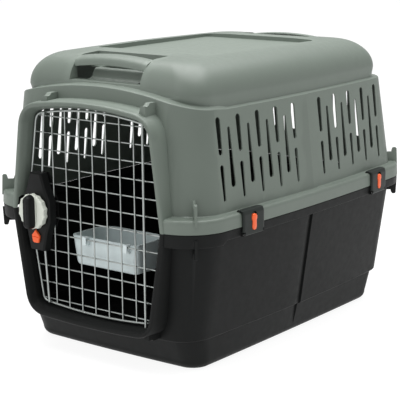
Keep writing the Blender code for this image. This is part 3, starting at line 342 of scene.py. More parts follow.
def dress(piece, node, finish, edge=0.0, angle=32, layers=2):
    """Smooths and bevels a piece, gives it its material, hides its CAD node and hangs the piece on
    that node's body.
    """
    mesh = piece.data
    mesh.materials.clear()
    mesh.materials.append(finish)
    mesh.shade_smooth()
    mesh.set_sharp_from_angle(angle=math.radians(angle))
    if edge:
        bevel = piece.modifiers.new("edges", "BEVEL")
        bevel.width = edge
        bevel.segments = layers
        bevel.limit_method = "ANGLE"
        bevel.angle_limit = math.radians(angle + 3)
        bevel.harden_normals = True
        bevel.use_clamp_overlap = True
        weighted = piece.modifiers.new("normals", "WEIGHTED_NORMAL")
        weighted.keep_sharp = True
    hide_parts(node)
    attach(piece, BODY_OF[node])
    return piece


def loft(bm, rings):
    """Joins rings of equal length into one closed solid with flat end caps."""
    rows = [[bm.verts.new(point) for point in ring] for ring in rings]
    count = len(rows[0])
    for low, high in zip(rows, rows[1:]):
        for i in range(count):
            j = (i + 1) % count
            bm.faces.new((low[i], low[j], high[j], high[i]))
    bm.faces.new(rows[0])
    bm.faces.new(rows[-1])


def prism(bm, outline, along):
    """Extrudes a closed outline of points by the vector along."""
    along = Vector(along)
    loft(bm, [outline, [Vector(point) + along for point in outline]])


def box(bm, low, high, about=(0, 0, 0)):
    """A box between two opposite corners, given from a point."""
    low, high = Vector(low), Vector(high)
    place = Matrix.Translation(Vector(about) + (low + high) / 2)
    bmesh.ops.create_cube(bm, size=1, matrix=place @ Matrix.Diagonal((*(high - low), 1)))


def rod(bm, start, end, radius, sides=ROUND):
    """A closed cylinder between two points."""
    start, end = Vector(start), Vector(end)
    turn = Vector((0, 0, 1)).rotation_difference(end - start).to_matrix().to_4x4()
    place = Matrix.Translation((start + end) / 2) @ turn
    bmesh.ops.create_cone(bm, cap_ends=True, segments=sides, radius1=radius, radius2=radius,
                          depth=(end - start).length, matrix=place)


def turned_y(bm, centre, profile, sides=SMALL_ROUND):
    """A closed turned piece about a Y axis, from (distance along Y, radius) pairs."""
    angles = [2 * math.pi * i / sides for i in range(sides)]
    loft(bm, [[(centre[0] + radius * math.cos(a), centre[1] + along,
                centre[2] + radius * math.sin(a)) for a in angles] for along, radius in profile])


def solid(name, rings):
    """A piece lofted through rings."""
    bm = bmesh.new()
    loft(bm, rings)
    return add_object(name, bm)


def block(name, low, high, about=(0, 0, 0)):
    """A piece that is one box."""
    bm = bmesh.new()
    box(bm, low, high, about)
    return add_object(name, bm)


def bar(name, start, end, radius, sides=ROUND):
    """A piece that is one cylinder."""
    bm = bmesh.new()
    rod(bm, start, end, radius, sides)
    return add_object(name, bm)


def placed(name, bm, place):
    """Turns a bmesh into an object once it is carried to its place."""
    bm.transform(place)
    return add_object(name, bm)


def mirrored(sign, pair):
    """Two places on the side given by sign, the lower one first."""
    return sorted((sign * pair[0], sign * pair[1]))


def arc(centre, radius, start, end, steps):
    """Points of a 2D arc; angles in degrees."""
    points = []
    for i in range(steps + 1):
        angle = math.radians(start + (end - start) * i / steps)
        points.append((centre[0] + radius * math.cos(angle), centre[1] + radius * math.sin(angle)))
    return points


def bowed_x(half_w, half_l, corner, bow, y):
    """Half width of a bowed plan outline at a place along its straight side."""
    return half_w - bow * (y / (half_l - corner)) ** 2


def grown(ends, more):
    """Distances of the front and rear from the middle, made larger."""
    ends = ends if isinstance(ends, tuple) else (ends, ends)
    return (ends[0] + more, ends[1] + more)


def side_places(low, high):
    """Places along a straight side, with the seams at the same index in every ring."""
    steps = range(1, SIDE_STEPS)
    front = [low + (SEAMS[0] - low) * i / SIDE_STEPS for i in steps]
    rear = [SEAMS[-1] + (high - SEAMS[-1]) * i / SIDE_STEPS for i in steps]
    return front + list(SEAMS) + rear


def wall_pleat(y):
    """The front part of each upper wall stands a little proud and ends at a narrow groove."""
    if SEAMS[5] < y < SEAMS[8]:
        return -WALL_SEAM_DEEP
    return WALL_SEAM_DEEP * max(0.0, 1 + (y - WALL_SEAM_Y) / 0.22) if y < WALL_SEAM_Y else 0.0


def tub_pleat(y):
    """The tub's wall sinks gently towards the rear and comes back in one step."""
    start = SEAMS[0]
    if start < y < TUB_SEAM_Y:
        return -TUB_SEAM_DEEP * (y - start) / (TUB_SEAM_Y - start)
    return 0.0


def plan(half_w, ends, corner, z, bow=BOW, end_bow=0.0, pleat=None):
    """Rounded rectangle with bowed long sides, as a ring of points at height z. ends holds the
    distances of the front and rear from the middle. end_bow draws their outer parts in."""
    front, rear = ends
    end_w = half_w - bow
    rear_arc = arc((end_w - corner, rear - corner), corner, 0, 90, CORNER_STEPS)
    front_arc = arc((end_w - corner, corner - front), corner, -90, 0, CORNER_STEPS)
    low, high = corner - front, rear - corner
    side = []
    for y in side_places(low, high):
        share = (2 * y - low - high) / (high - low)
        side.append((half_w - bow * share ** 2 + (pleat(y) if pleat else 0.0), y))
    across = [(end_w - corner) * (1 - 2 * i / END_STEPS) for i in range(1, END_STEPS)]
    right = front_arc + side + rear_arc
    left = [(-x, y) for x, y in reversed(right)]
    ring = right + [(x, rear) for x in across] + left + [(-x, -front) for x in across]
    middle = (rear - front) / 2
    length = (rear + front) / 2
    out = []
    for x, y in ring:
        drawn = end_bow * (x / end_w) ** 2 * max(0.0, abs(y - middle) / length * 4 - 3)
        out.append((x, y - math.copysign(drawn, y), z))
    return out


def flowing(points, steps, closed=False):
    """A smooth line through 2D points."""
    out = []
    count = len(points)
    for i in range(count if closed else count - 1):
        near = [i + k for k in (-1, 0, 1, 2)]
        if closed:
            near = [k % count for k in near]
        a, b, c, d = (Vector(points[min(max(k, 0), count - 1)]) for k in near)
        for k in range(steps):
            t = k / steps
            point = b * 2 + (c - a) * t + (a * 2 - b * 5 + c * 4 - d) * t * t
            point += (b * 3 - a - c * 3 + d) * t ** 3
            out.append(tuple(point / 2))
    if not closed:
        out.append(tuple(points[-1]))
    return out


def front_arch(x):
    """How far the arch over the door rises at a place across the front."""
    return FRONT_ARCH * max(0.0, 1 - (x / FRONT_ARCH_W) ** 2)


def arched(ring):
    """Raises the front of a shoulder ring into the arch over the door."""
    return [(x, y, z + front_arch(x)) if y < FRONT_ZONE else (x, y, z) for x, y, z in ring]


def dipped(ring, depth, wide):
    """Lowers the front of a ring by depth, fading out at the half width wide."""
    out = []
    for x, y, z in ring:
        share = max(0.0, 1 - (x / wide) ** 2) if y < FRONT_ZONE else 0.0
        out.append((x, y, z - depth * share))
    return out


def flange_ring(cut, corner, z):
    """A ring round the flange, drawn in by cut."""
    return plan(FLANGE_W - cut, grown(FLANGE_L, -cut), corner, z)


def foot_ring(out, corner, z, pleat=None):
    """A ring round the foot of the upper wall, moved out by out."""
    return plan(WALL_FOOT_W + out, grown(WALL_FOOT_L, out), corner, z, pleat=pleat)


def shoulder_ring(cut, corner, z, pleat=None):
    """A ring round the shoulder with the arch over the door, drawn in by cut."""
    return arched(plan(SHOULDER_W - cut, grown(SHOULDER_L, -cut), corner, z, pleat=pleat))


def dome_foot_ring(out, front_out, rear_out, corner, z):
    """A ring where the dome meets its ledge, moved out on the sides, front and rear."""
    ends = (DOME_ENDS[0] + front_out, DOME_ENDS[1] + rear_out)
    return arched(plan(DOME_W + out, ends, corner, z))


def step_ring(cut, corner, z):
    """A ring at the step near the tub's foot, drawn in by cut."""
    ring = plan(STEP_W - cut, grown(STEP_L, -cut), corner, z, pleat=tub_pleat)
    return dipped(ring, STEP_DIP, STEP_W)


def base_ring(cut, corner, z):
    """A ring round the tub's foot, drawn in by cut."""
    return plan(BASE_W - cut, grown(BASE_L, -cut), corner, z, BASE_BOW, FRONT_BOW)


def dome_ring(share_x, share_y, z, inset):
    """A ring of the dome; the shares run from 0 at its foot to 1 at the end of the rounding."""
    shrink_x, shrink_y = ROOF_ROUND_X * share_x + inset, ROOF_ROUND_Y * share_y + inset
    ends = (DOME_ENDS[0] - shrink_y, DOME_ENDS[1] - shrink_y)
    out = []
    for x, y, height in plan(DOME_W - shrink_x, ends, DOME_CORNER - 0.25 * shrink_y, z):
        over = SHOULDER_Z + front_arch(x) + 0.0015 - inset
        out.append((x, y, max(height, over)) if y < FRONT_ZONE else (x, y, height))
    return out


def dome_rings(inset):
    """Rings of the dome above the shoulder, offset inwards by inset, up to the crowned roof."""
    rings = []
    for i in range(DOME_STEPS + 1):
        t = math.radians(90 * i / DOME_STEPS)
        z = DOME_FOOT + (ROOF_EDGE - DOME_FOOT - inset) * math.sin(t)
        rings.append(dome_ring(1 - math.cos(t), 1 - math.cos(t), z, inset))
    crown = ((1.2, 1.28, 0.0018), (1.45, 1.6, 0.0011), (1.8, 2.15, 0.0004), (2.2, 2.8, 0.0))
    for share_x, share_y, under in crown:
        rings.append(dome_ring(share_x, share_y, ROOF_Z - under - inset, inset))
    return [[(x, y, z - rear_drop(y, z)) for x, y, z in ring] for ring in rings]


def rear_drop(y, z):
    """The roof falls a little towards the rear."""
    along = min(1.0, max(0.0, (y + 0.02) / 0.28))
    return REAR_DROP * along * min(1.0, max(0.0, (z - DOME_FOOT) / 0.04))


def rings_between(low, high):
    """Rings evenly spaced between two others."""
    return [[tuple(Vector(a).lerp(Vector(b), i / WALL_STEPS)) for a, b in zip(low, high)]
            for i in range(1, WALL_STEPS)]


def upper_outside():
    """Rings of the upper shell's outside, from the parting line up."""
    low = PARTING_Z + GAP / 2
    # How far each ring is drawn in, by how much its corner is tighter, and its height.
    flange = ((0.0007, 0.0, low), (0.0, 0.0, low + 0.0008), (0.0005, 0.0, FLANGE_TOP - 0.007),
              (0.0009, 0.001, FLANGE_TOP - 0.0042), (0.002, 0.002, FLANGE_TOP - 0.002),
              (0.0037, 0.004, FLANGE_TOP - 0.0007), (0.0065, 0.006, FLANGE_TOP))
    foot = foot_ring(0.0, CORNER_R - 0.011, FLANGE_TOP + 0.002, wall_pleat)
    shoulder = shoulder_ring(0.0, CORNER_R - 0.015, SHOULDER_Z - 0.0022, wall_pleat)
    return [
        *(flange_ring(cut, CORNER_R - tighter, z) for cut, tighter, z in flange),
        foot_ring(0.0022, CORNER_R - 0.01, FLANGE_TOP + 0.0002),
        foot_ring(0.0007, CORNER_R - 0.011, FLANGE_TOP + 0.0008, wall_pleat),
        foot,
        *rings_between(foot, shoulder),
        shoulder,
        shoulder_ring(0.0004, CORNER_R - 0.015, SHOULDER_Z - 0.0009, wall_pleat),
        shoulder_ring(0.0016, CORNER_R - 0.016, SHOULDER_Z),
        dome_foot_ring(0.0016, 0.003, 0.0016, CORNER_R - 0.019, SHOULDER_Z + 0.0005),
        dome_foot_ring(0.0005, 0.0012, 0.0005, CORNER_R - 0.02, SHOULDER_Z + 0.0014),
        *dome_rings(0.0),
    ]


def upper_inside():
    """Rings of the space inside the upper shell."""
    wall = SLOT_WALL
    return [
        flange_ring(wall, CORNER_R - wall, PARTING_Z - 0.001),
        flange_ring(wall + 0.001, CORNER_R - wall, FLANGE_TOP - 0.0045),
        flange_ring(0.0075, CORNER_R - 0.007, FLANGE_TOP - wall),
        foot_ring(-wall, CORNER_R - 0.013, FLANGE_TOP - wall + 0.0005),
        shoulder_ring(wall, CORNER_R - 0.017, SHOULDER_Z - wall),
        dome_foot_ring(0.0005 - wall, 0.001 - wall, 0.001 - wall, CORNER_R - 0.021,
                       SHOULDER_Z - 0.001),
        *dome_rings(wall),
    ]


def lower_outside():
    """Rings of the tub's outside, from the floor up."""
    rings = []
    for i in range(BASE_STEPS + 1):
        t = math.radians(90 * i / BASE_STEPS)
        cut = BASE_ROUND * (1 - math.sin(t))
        rings.append(base_ring(cut, BASE_CORNER - cut, BASE_ROUND * (1 - math.cos(t))))
    for cut, rise in ((0.0062, -0.002), (0.004, -0.0012), (0.0016, -0.0004), (0.0, 0.0014)):
        rings.append(step_ring(cut, CORNER_R - 0.029 - cut / 2, STEP_Z + rise))
    under = BAND_BOTTOM - 0.0012
    rings.append(deep_corners(foot_ring(0.0, CORNER_R - 0.011, under, tub_pleat)))
    rings.append(deep_corners(foot_ring(0.0012, CORNER_R - 0.01, under + 0.0006)))
    for cut, rise in ((0.006, 0.0002), (0.004, 0.0005), (0.0024, 0.0014), (0.0015, 0.0034)):
        rings.append(deep_corners(flange_ring(cut, CORNER_R - cut / 2, BAND_BOTTOM + rise)))
    top = PARTING_Z - GAP / 2
    return rings + [flange_ring(0.0005, CORNER_R, top - 0.0008), flange_ring(0.0012, CORNER_R, top)]


def deep_corners(ring):
    """Carries the rim band lower round the front."""
    return [(x, y, z - CORNER_DIP) if y < CORNER_DIP_Y else (x, y, z) for x, y, z in ring]


def lower_inside():
    """Rings of the space inside the tub."""
    return [
        base_ring(BASE_ROUND, CORNER_R - 0.043, FLOOR_T),
        base_ring(0.0065, CORNER_R - 0.04, FLOOR_T + 0.0045),
        base_ring(WALL, CORNER_R - 0.036, FLOOR_T + 0.0125),
        step_ring(0.004 + WALL, CORNER_R - 0.034, STEP_Z - 0.001 + WALL),
        step_ring(WALL, CORNER_R - 0.031, STEP_Z + 0.001 + WALL),
        deep_corners(foot_ring(-WALL, CORNER_R - 0.013, BAND_BOTTOM + WALL - 0.001, tub_pleat)),
        deep_corners(flange_ring(0.0045 + WALL, CORNER_R - 0.006, BAND_BOTTOM + WALL)),
        flange_ring(WALL + 0.001, CORNER_R - WALL, PARTING_Z + 0.001),
    ]


def door_half(upper, grow, past=0.0):
    """Half of the door's outline, from the parting line over the top (or bottom) and back.
    grow offsets it outwards and past carries it over the parting line."""
    side = 1 if upper else -1
    corner_w, corner_z, rise, radius = DOOR_TOP if upper else DOOR_BOTTOM
    corner_w, corner_z, wide = corner_w + grow, corner_z + side * grow, DOOR_W + grow
    slope = Vector((corner_w - wide, corner_z - PARTING_Z)).normalized()
    across = Vector((-1, side * 0.13)).normalized()
    corner = Vector((corner_w, corner_z))
    reach = (radius + 1.8 * grow) * math.tan(slope.angle(across) / 2)
    outline = [(wide, PARTING_Z + side * (GAP / 2 - past))]
    for i in range(DOOR_CORNER_STEPS + 1):
        share = i / DOOR_CORNER_STEPS
        first = (corner - slope * reach).lerp(corner, share)
        outline.append(tuple(first.lerp(corner.lerp(corner + across * reach, share), share)))
    end_x, end_z = outline[-1]
    top = corner_z + side * rise
    across_x = [end_x * (1 - 2 * i / DOOR_ARCH_STEPS) for i in range(1, DOOR_ARCH_STEPS)]
    arch = [(x, top - (top - end_z) * (x / end_x) ** 2) for x in across_x]
    return outline + arch + [(-x, z) for x, z in reversed(outline)]


def door_loft(name, upper, stations, past=0.0):
    """A solid through door outlines given as (place along Y, growth) pairs."""
    return solid(name, [[(x, y, z) for x, z in door_half(upper, grow, past)]
                        for y, grow in stations])


def slot_outline(low, high, low_w, high_w):
    """A tapered slot with round ends as (along, up) points about its own centre line."""
    top = arc((0.0, high - high_w / 2), high_w / 2, 0, 180, 8)
    return top + arc((0.0, low + low_w / 2), low_w / 2, 180, 360, 8)


def slots_in(column):
    """Outlines of the slots in a column: a long one, or one above another."""
    levels = ("long",) if column % 2 else ("upper", "lower")
    return [slot_outline(*SLOT_LEVELS[level]) for level in levels]


def vent_slots():
    """Cutters for the slots in both sides and the rear wall."""
    bm = bmesh.new()
    inner, outer, rear = SHOULDER_W - 0.03, FLANGE_W + 0.02, SHOULDER_L[1] - 0.03
    for side, end in CORNERS:
        for column in range(SIDE_COLUMNS):
            y = end * (SLOT_FIRST + column * SLOT_PITCH)
            for outline in slots_in(column):
                ring = [(side * inner, y + a, z) for a, z in outline]
                prism(bm, ring, (side * (outer - inner), 0, 0))
    for column in range(-REAR_COLUMNS, REAR_COLUMNS + 1):
        for outline in slots_in(column):
            prism(bm, [(column * SLOT_PITCH + a, rear, z) for a, z in outline], (0, 0.065, 0))
    return add_object("vent_slots", bm)


def corner_fins(upper):
    """Four diagonal strap hooks, standing on the flange or hanging from the rim band."""
    bm = bmesh.new()
    half_t = 0.0022
    sign = 1 if upper else -1
    foot = FLANGE_TOP - 0.01 if upper else BAND_BOTTOM + 0.008
    saddle = FLANGE_TOP + 0.017 if upper else BAND_BOTTOM - 0.016
    profile = [(-0.03, foot), (0.0015, foot)]
    profile += [(d, saddle + sign * rise) for d, rise in FIN_OUTLINE]
    for side, end in CORNERS:
        away = Vector((side, end, 0)).normalized()
        across = Vector((-away.y, away.x, 0))
        rim = Vector((side * (FLANGE_W - BOW - CORNER_R), end * (FLANGE_L - CORNER_R), 0))
        rim += away * CORNER_R
        ring = [rim + away * d + Vector((0, 0, z)) - across * half_t for d, z in profile]
        prism(bm, ring, across * 2 * half_t)
    return add_object("upper_fins" if upper else "lower_fins", bm)


def rear_shift(end):
    """How much further out the handle at an end is than the front one."""
    return 0.0 if end < 0 else DOME_ENDS[1] - DOME_ENDS[0]


def handle_grip(end):
    """The arched grip across the handle pocket at the front (end -1) or the rear (end 1)."""
    bm = bmesh.new()
    rings = []
    reach = HANDLE_W + 0.0015
    section = flowing(GRIP, 3, closed=True)
    for i in range(GRIP_STEPS + 1):
        x = reach * (2 * i / GRIP_STEPS - 1)
        lift = HANDLE_ARCH * (1 - (x / reach) ** 2)
        drop = REAR_DROP if end > 0 else 0.0
        rings.append([(x, end * (y + rear_shift(end)), z + lift - drop) for y, z in section])
    loft(bm, rings)
    bmesh.ops.triangulate(bm, faces=[face for face in bm.faces if len(face.verts) > 4])
    return add_object("grip", bm)


def handle_scoop(name, end, grow):
    """The space of a handle pocket, or with grow the block its walls are cut from."""
    bm = bmesh.new()
    ring = []
    for y, z in [SCOOP[0], *flowing(SCOOP[1:8], 4), *SCOOP[8:]]:
        inward = grow if y < DOME_EDGE_Y else 0.0
        down = grow if z < ROOF_Z else 0.0
        ring.append((-HANDLE_W - grow, end * (y + rear_shift(end) - inward), z - down))
    prism(bm, ring, (2 * (HANDLE_W + grow), 0, 0))
    return add_object(name, bm)


def pocket_windows(end):
    """Openings from a handle pocket into the shell: one at each end and a slot behind the grip."""
    bm = bmesh.new()
    back, fore = mirrored(end, WINDOW_Y)
    for side in (-1, 1):
        near, far = mirrored(side, (WINDOW_IN, WINDOW_OUT))
        box(bm, (near, back, SCOOP[0][1] - 0.01), (far, fore, WINDOW_TOP))
    back, fore = mirrored(end, POCKET_SLOT_Y)
    box(bm, (-POCKET_SLOT_W, back, 0.47), (POCKET_SLOT_W, fore, 0.478))
    return add_object("pocket_windows", bm)


def pocket_slit(end):
    """The narrow slit along a handle pocket's floor."""
    back, fore = mirrored(end, SLIT_Y)
    floor_z = SCOOP[0][1]
    return block("pocket_slit", (0.005 - WINDOW_IN, back, floor_z - 0.0015),
                 (HANDLE_W - 0.001, fore, floor_z + 0.002))


def tray_block(name, grow, corner, above):
    """The space of the roof tray, or with grow the block its floor is cut from."""
    half_w, ends = TRAY_W + grow, grown(TRAY_L, grow)
    return solid(name, [plan(half_w, ends, corner, ROOF_Z - TRAY_DEPTH - grow, 0.0),
                        plan(half_w, ends, 0.016, ROOF_Z + above, 0.0)])


def rod_ears(upper):
    """Small moulded ears on the collar that guard the ends of the hinge rod and a locking rod."""
    bm = bmesh.new()
    seat, tip = (0.41, EAR_TOP) if upper else (0.072, EAR_FOOT)
    back = 0.0035 if upper else -0.0022
    stations = ((0.0, -0.1 * back), (0.004, -0.4 * back), (0.008, 0.0), (0.0105, 0.8 * back),
                (0.0125, back), (0.03, back))
    for gusset, near, far in EARS:
        loft(bm, [[(x, EAR_FRONT + behind, z) for x, z in
                   ((gusset, seat), (far, seat), (far, tip + curl), (near, tip + curl))]
                  for behind, curl in stations])
    return add_object("ears", bm)


def latch_frame(side, end):
    """Where a latch pivots: X points out of the carrier, Y runs along its hinge pin."""
    straight = FLANGE_L - CORNER_R
    face = bowed_x(FLANGE_W, FLANGE_L, CORNER_R, BOW, LATCH_Y)
    turn = end * 2 * BOW * LATCH_Y / straight ** 2
    origin = Vector((side * (face + LATCH_PIVOT_OUT), end * LATCH_Y, LATCH_PIVOT_Z))
    angle = turn if side > 0 else math.pi - turn
    return Matrix.Translation(origin) @ Matrix.Rotation(angle, 4, "Z")


def latch_lugs():
    """Two ears at each latch on the rim band, which hold the ends of its hinge pin."""
    bm = bmesh.new()
    root = -LATCH_PIVOT_OUT - 0.005
    outline = [(root, 0.0032), (root, -0.0032), (0.0005, -0.0025), (0.0022, -0.001),
               (0.0022, 0.001), (0.0005, 0.0025)]
    for side, end in CORNERS:
        place = latch_frame(side, end)
        for start in (-LATCH_HALF + 0.001, LATCH_HALF - 0.0045):
            ring = [place @ Vector((x, start, z)) for x, z in outline]
            prism(bm, ring, place.to_3x3() @ Vector((0, 0.0035, 0)))
    return add_object("lugs", bm)


def keyhole(extra=0.0, lift=0.0):
    """Outline of the lock button: a round head over a narrower stem. extra grows it, and lift
    carries everything from the head's centre up."""
    head_z = LOCK_HIGH - LOCK_HEAD_R
    head = arc((0.0, head_z), LOCK_HEAD_R + extra, 315, 585, 8)
    stem = arc((0.0, LOCK_LOW + LOCK_STEM), LOCK_STEM + extra, 180, 360, 4)
    return [(y, z + lift if z > head_z + 0.0002 else z) for y, z in head + stem]


def crossing(outline, axis, value):
    """Follows an outline to where x (axis 0) or z (axis 1) has a value, and gives the other one."""
    for a, b in zip(outline, outline[1:]):
        run = b[axis] - a[axis]
        if min(a[axis], b[axis]) <= value <= max(a[axis], b[axis]) and abs(run) > 1e-6:
            return a[1 - axis] + (b[1 - axis] - a[1 - axis]) * (value - a[axis]) / run
    raise ValueError("the outline doesn't reach %g" % value)


def along_rod(upper, distance, y=ROD_Y):
    """A point on a locking rod's line, a distance from the knob's axis."""
    side = 1 if upper else -1
    reach = distance * math.cos(ROD_LEAN)
    return Vector((KNOB_X + distance * math.sin(ROD_LEAN), y, KNOB_Z + side * reach))


def housing_ring(y, inset=0.0):
    """A ring round the lock housing, drawn in by inset."""
    right = [(x - inset, z - math.copysign(inset * 0.7, z)) for x, z in HOUSING_OUTLINE]
    left = [(-x, z) for x, z in reversed(right)]
    return [(KNOB_X + x, y, KNOB_Z + z) for x, z in right + left]


def bowl_ring(share, z, corner):
    """A D-shaped plan ring of the bowl: straight at the door, round at the back."""
    near = BOWL_FRONT + (1 - share) * 0.006
    far = BOWL_FRONT + BOWL_DEEP * (0.9 + 0.1 * share)
    half = BOWL_HALF * (0.9 + 0.1 * share)
    back = arc((half - BOWL_BACK_R, far - BOWL_BACK_R), BOWL_BACK_R, 90, 0, 12)
    right = back + arc((half - corner, near + corner), corner, 0, -90, 6)
    left = [(-x, y) for x, y in reversed(right)]
    return [(BOWL_X + x, y, z) for x, y in right + left]


def add_mouldings(shell, upper):
    """Joins the collar, its ears and the strap hooks to a shell."""
    for part in (door_loft("collar", upper, COLLAR_OUTSIDE), rod_ears(upper), corner_fins(upper)):
        boolean(shell, part, "UNION")


def build_upper_shell():
    shell = solid("upper_shell_moulding", upper_outside())
    add_mouldings(shell, True)
    cavity = solid("cavity", upper_inside())
    boolean(cavity, tray_block("tray_floor", WALL, 0.014, 0.01))
    for end in (-1, 1):
        boolean(cavity, handle_scoop("pocket_walls", end, WALL))
    boolean(shell, cavity)
    for end in (-1, 1):
        boolean(shell, handle_scoop("pocket", end, 0.0))
        boolean(shell, pocket_windows(end))
        boolean(shell, handle_grip(end), "UNION")
        boolean(shell, pocket_slit(end))
    boolean(shell, tray_block("roof_tray", 0.0, 0.012, 0.005))
    boolean(shell, door_loft("doorway", True, COLLAR_INSIDE, DOORWAY_PAST))
    boolean(shell, vent_slots())
    boolean(shell, bar("rod_hole", (HINGE_X, ROD_Y, 0.39), (HINGE_X, ROD_Y, HINGE_TOP + GAP),
                       ROD_R + 0.0003))
    dress(shell, "upper_shell", SAGE, 0.0007)


def build_lower_tub():
    tub = solid("lower_tub_moulding", lower_outside())
    add_mouldings(tub, False)
    boolean(tub, latch_lugs(), "UNION")
    boolean(tub, solid("cavity", lower_inside()))
    boolean(tub, door_loft("doorway", False, COLLAR_INSIDE, DOORWAY_PAST))
    bm = bmesh.new()
    rod(bm, (HINGE_X, ROD_Y, HINGE_BOTTOM - GAP), (HINGE_X, ROD_Y, 0.1), ROD_R + 0.0003)
    reach = Vector((0, LATCH_HALF + 0.004, 0))
    for side, end in CORNERS:
        place = latch_frame(side, end)
        rod(bm, place @ -reach, place @ reach, PIN_R + GAP, SMALL_ROUND)
    boolean(tub, add_object("pin_holes", bm))
    dress(tub, "lower_tub", CHARCOAL, 0.0007)


def latch_plate(face, top):
    """The latch's bent plate, with its ends rounded off, in its own frame."""
    section = [(face + x, z) for x, z in LATCH_LOW] + [(face + x, top + z) for x, z in LATCH_HIGH]
    # Distances inwards from each end, with how far the front is drawn back there.
    rounding = [(0.0, 0.0022), (0.0006, 0.0011), (0.0018, 0.0003), (0.004, 0.0)]
    wide = LATCH_HALF - GAP
    stations = [(y - wide, drawn) for y, drawn in rounding]
    stations += [(wide - y, drawn) for y, drawn in reversed(rounding)]
    bm = bmesh.new()
    loft(bm, [[(x - (drawn if x > face + 0.0005 else 0.0), y, z - (0.4 * drawn if z > top else 0.0))
               for x, z in section] for y, drawn in stations])
    return bm


def build_latch(side, end, tag):
    """A side latch with its hinge pin and its lock button."""
    place = latch_frame(side, end)
    face = 0.0009 - LATCH_PIVOT_OUT
    top = FLANGE_TOP + 0.0008 - LATCH_PIVOT_Z
    latch = placed("latch_%s_plate" % tag, latch_plate(face, top), place)
    bm = bmesh.new()
    gaps = ((-0.001 - LATCH_HALF, 0.005 - LATCH_HALF), (LATCH_HALF - 0.005, LATCH_HALF + 0.001))
    for low, high in gaps:
        box(bm, (-0.01, low, -0.01), (0.0028, high, 0.0036))
    boolean(latch, placed("lug_gaps", bm, place))
    bm = bmesh.new()
    rod(bm, (0, -0.04, 0), (0, 0.04, 0), PIN_R + GAP, SMALL_ROUND)
    window = keyhole(0.0005, LOCK_TRAVEL + 0.0003)
    prism(bm, [(face - 0.001, y, z) for y, z in window], (LATCH_THICK + 0.003, 0, 0))
    boolean(latch, placed("latch_cuts", bm, place))
    dress(latch, "latch_" + tag, LATCH_DARK, 0.0004)
    bm = bmesh.new()
    reach = LATCH_HALF - 0.0013
    rod(bm, (0, -reach, 0), (0, reach, 0), PIN_R)
    dress(placed("latch_%s_axle" % tag, bm, place), "latch_pin_" + tag, STEEL, 0.0002)
    bm = bmesh.new()
    stations = ((0.0, 0.0), (LATCH_THICK - 0.0002, 0.0), (LATCH_THICK + 0.0004, 0.0003),
                (LATCH_THICK + 0.0007, 0.0009))
    loft(bm, [[(face + 0.0004 + out, y, z) for y, z in keyhole(-cut)] for out, cut in stations])
    dress(placed("latch_%s_button" % tag, bm, place), "latch_lock_" + tag, ORANGE)


def bent_wire(bm, centre, radius, sides=SMALL_ROUND):
    """A closed loop of round wire through (x, z) points in the door's plane."""
    count = len(centre)
    rings = []
    for i, (x, z) in enumerate(centre):
        along = (Vector(centre[(i + 1) % count]) - Vector(centre[i - 1])).normalized()
        outward = Vector((along.y, 0, -along.x))
        ring = []
        for k in range(sides):
            angle = 2 * math.pi * k / sides
            spot = Vector((x, DOOR_Y + radius * math.sin(angle), z))
            ring.append(bm.verts.new(spot + outward * radius * math.cos(angle)))
        rings.append(ring)
    for i, ring in enumerate(rings):
        after = rings[(i + 1) % count]
        for k in range(sides):
            bm.faces.new((ring[k], ring[(k + 1) % sides], after[(k + 1) % sides], after[k]))


def build_door_grid():
    """The welded door: a bent outer wire, seven uprights and twelve cross wires."""
    bm = bmesh.new()
    bent_wire(bm, door_half(True, 0.0) + door_half(False, 0.0)[-2:0:-1], FRAME_R)
    near, far = DOOR_Y - WIRE_OFFSET, DOOR_Y + WIRE_OFFSET
    for column in range(-3, 4):
        x = column * CELL_W
        low, high = (crossing(door_half(upper, 0.0), 0, x) for upper in (False, True))
        rod(bm, (x, near, low), (x, near, high), WIRE_R, SMALL_ROUND)
    for row in range(-5, 7):
        z = GRID_Z + row * CELL_H
        reach = crossing(door_half(z > PARTING_Z, 0.0), 1, z)
        rod(bm, (-reach, far, z), (reach, far, z), WIRE_R, SMALL_ROUND)
    dress(add_object("door_mesh", bm), "door_grid", ZINC, angle=50)


def build_rods():
    """The hinge rod and the two locking rods with their followers."""
    hinge = bar("hinge_bar", (HINGE_X, ROD_Y, HINGE_BOTTOM), (HINGE_X, ROD_Y, HINGE_TOP), ROD_R)
    dress(hinge, "hinge_rod", ZINC, 0.0005, 50)
    for upper in (True, False):
        tip = (ROD_TIP_TOP - KNOB_Z if upper else KNOB_Z - ROD_TIP_BOTTOM) / math.cos(ROD_LEAN)
        name = "upper_locking_rod" if upper else "lower_locking_rod"
        bm = bmesh.new()
        rod(bm, along_rod(upper, FOLLOWER_R - 0.002), along_rod(upper, tip), ROD_R)
        rod(bm, along_rod(upper, FOLLOWER_R, -0.3205), along_rod(upper, FOLLOWER_R, ROD_Y), 0.0017)
        dress(add_object(name + "_bar", bm), name, ZINC, 0.0005, 50)


def bar_ring(axis, y, half, high):
    """A long round-ended ring about the knob's axis, waisted in the middle."""
    ring = arc((0, high - half), half, 0, 180, 10) + arc((0, half - high), half, 180, 360, 10)
    return [axis + Vector((x * (0.82 + 0.18 * abs(z) / high), y, z)) for x, z in ring]


def knob_ring(axis, y, share):
    """A scalloped ring of the turning knob, nearly plain where its face ends."""
    ring = []
    steps = KNOB_WAVES * 8
    for i in range(steps):
        angle = 2 * math.pi * i / steps
        wave = KNOB_WAVE * (1 - abs(math.sin(KNOB_WAVES * angle / 2))) if share > 0.9 else 0.0005
        radius = (KNOB_R - KNOB_WAVE + wave) * share
        ring.append(axis + Vector((radius * math.sin(angle), y, radius * math.cos(angle))))
    return ring


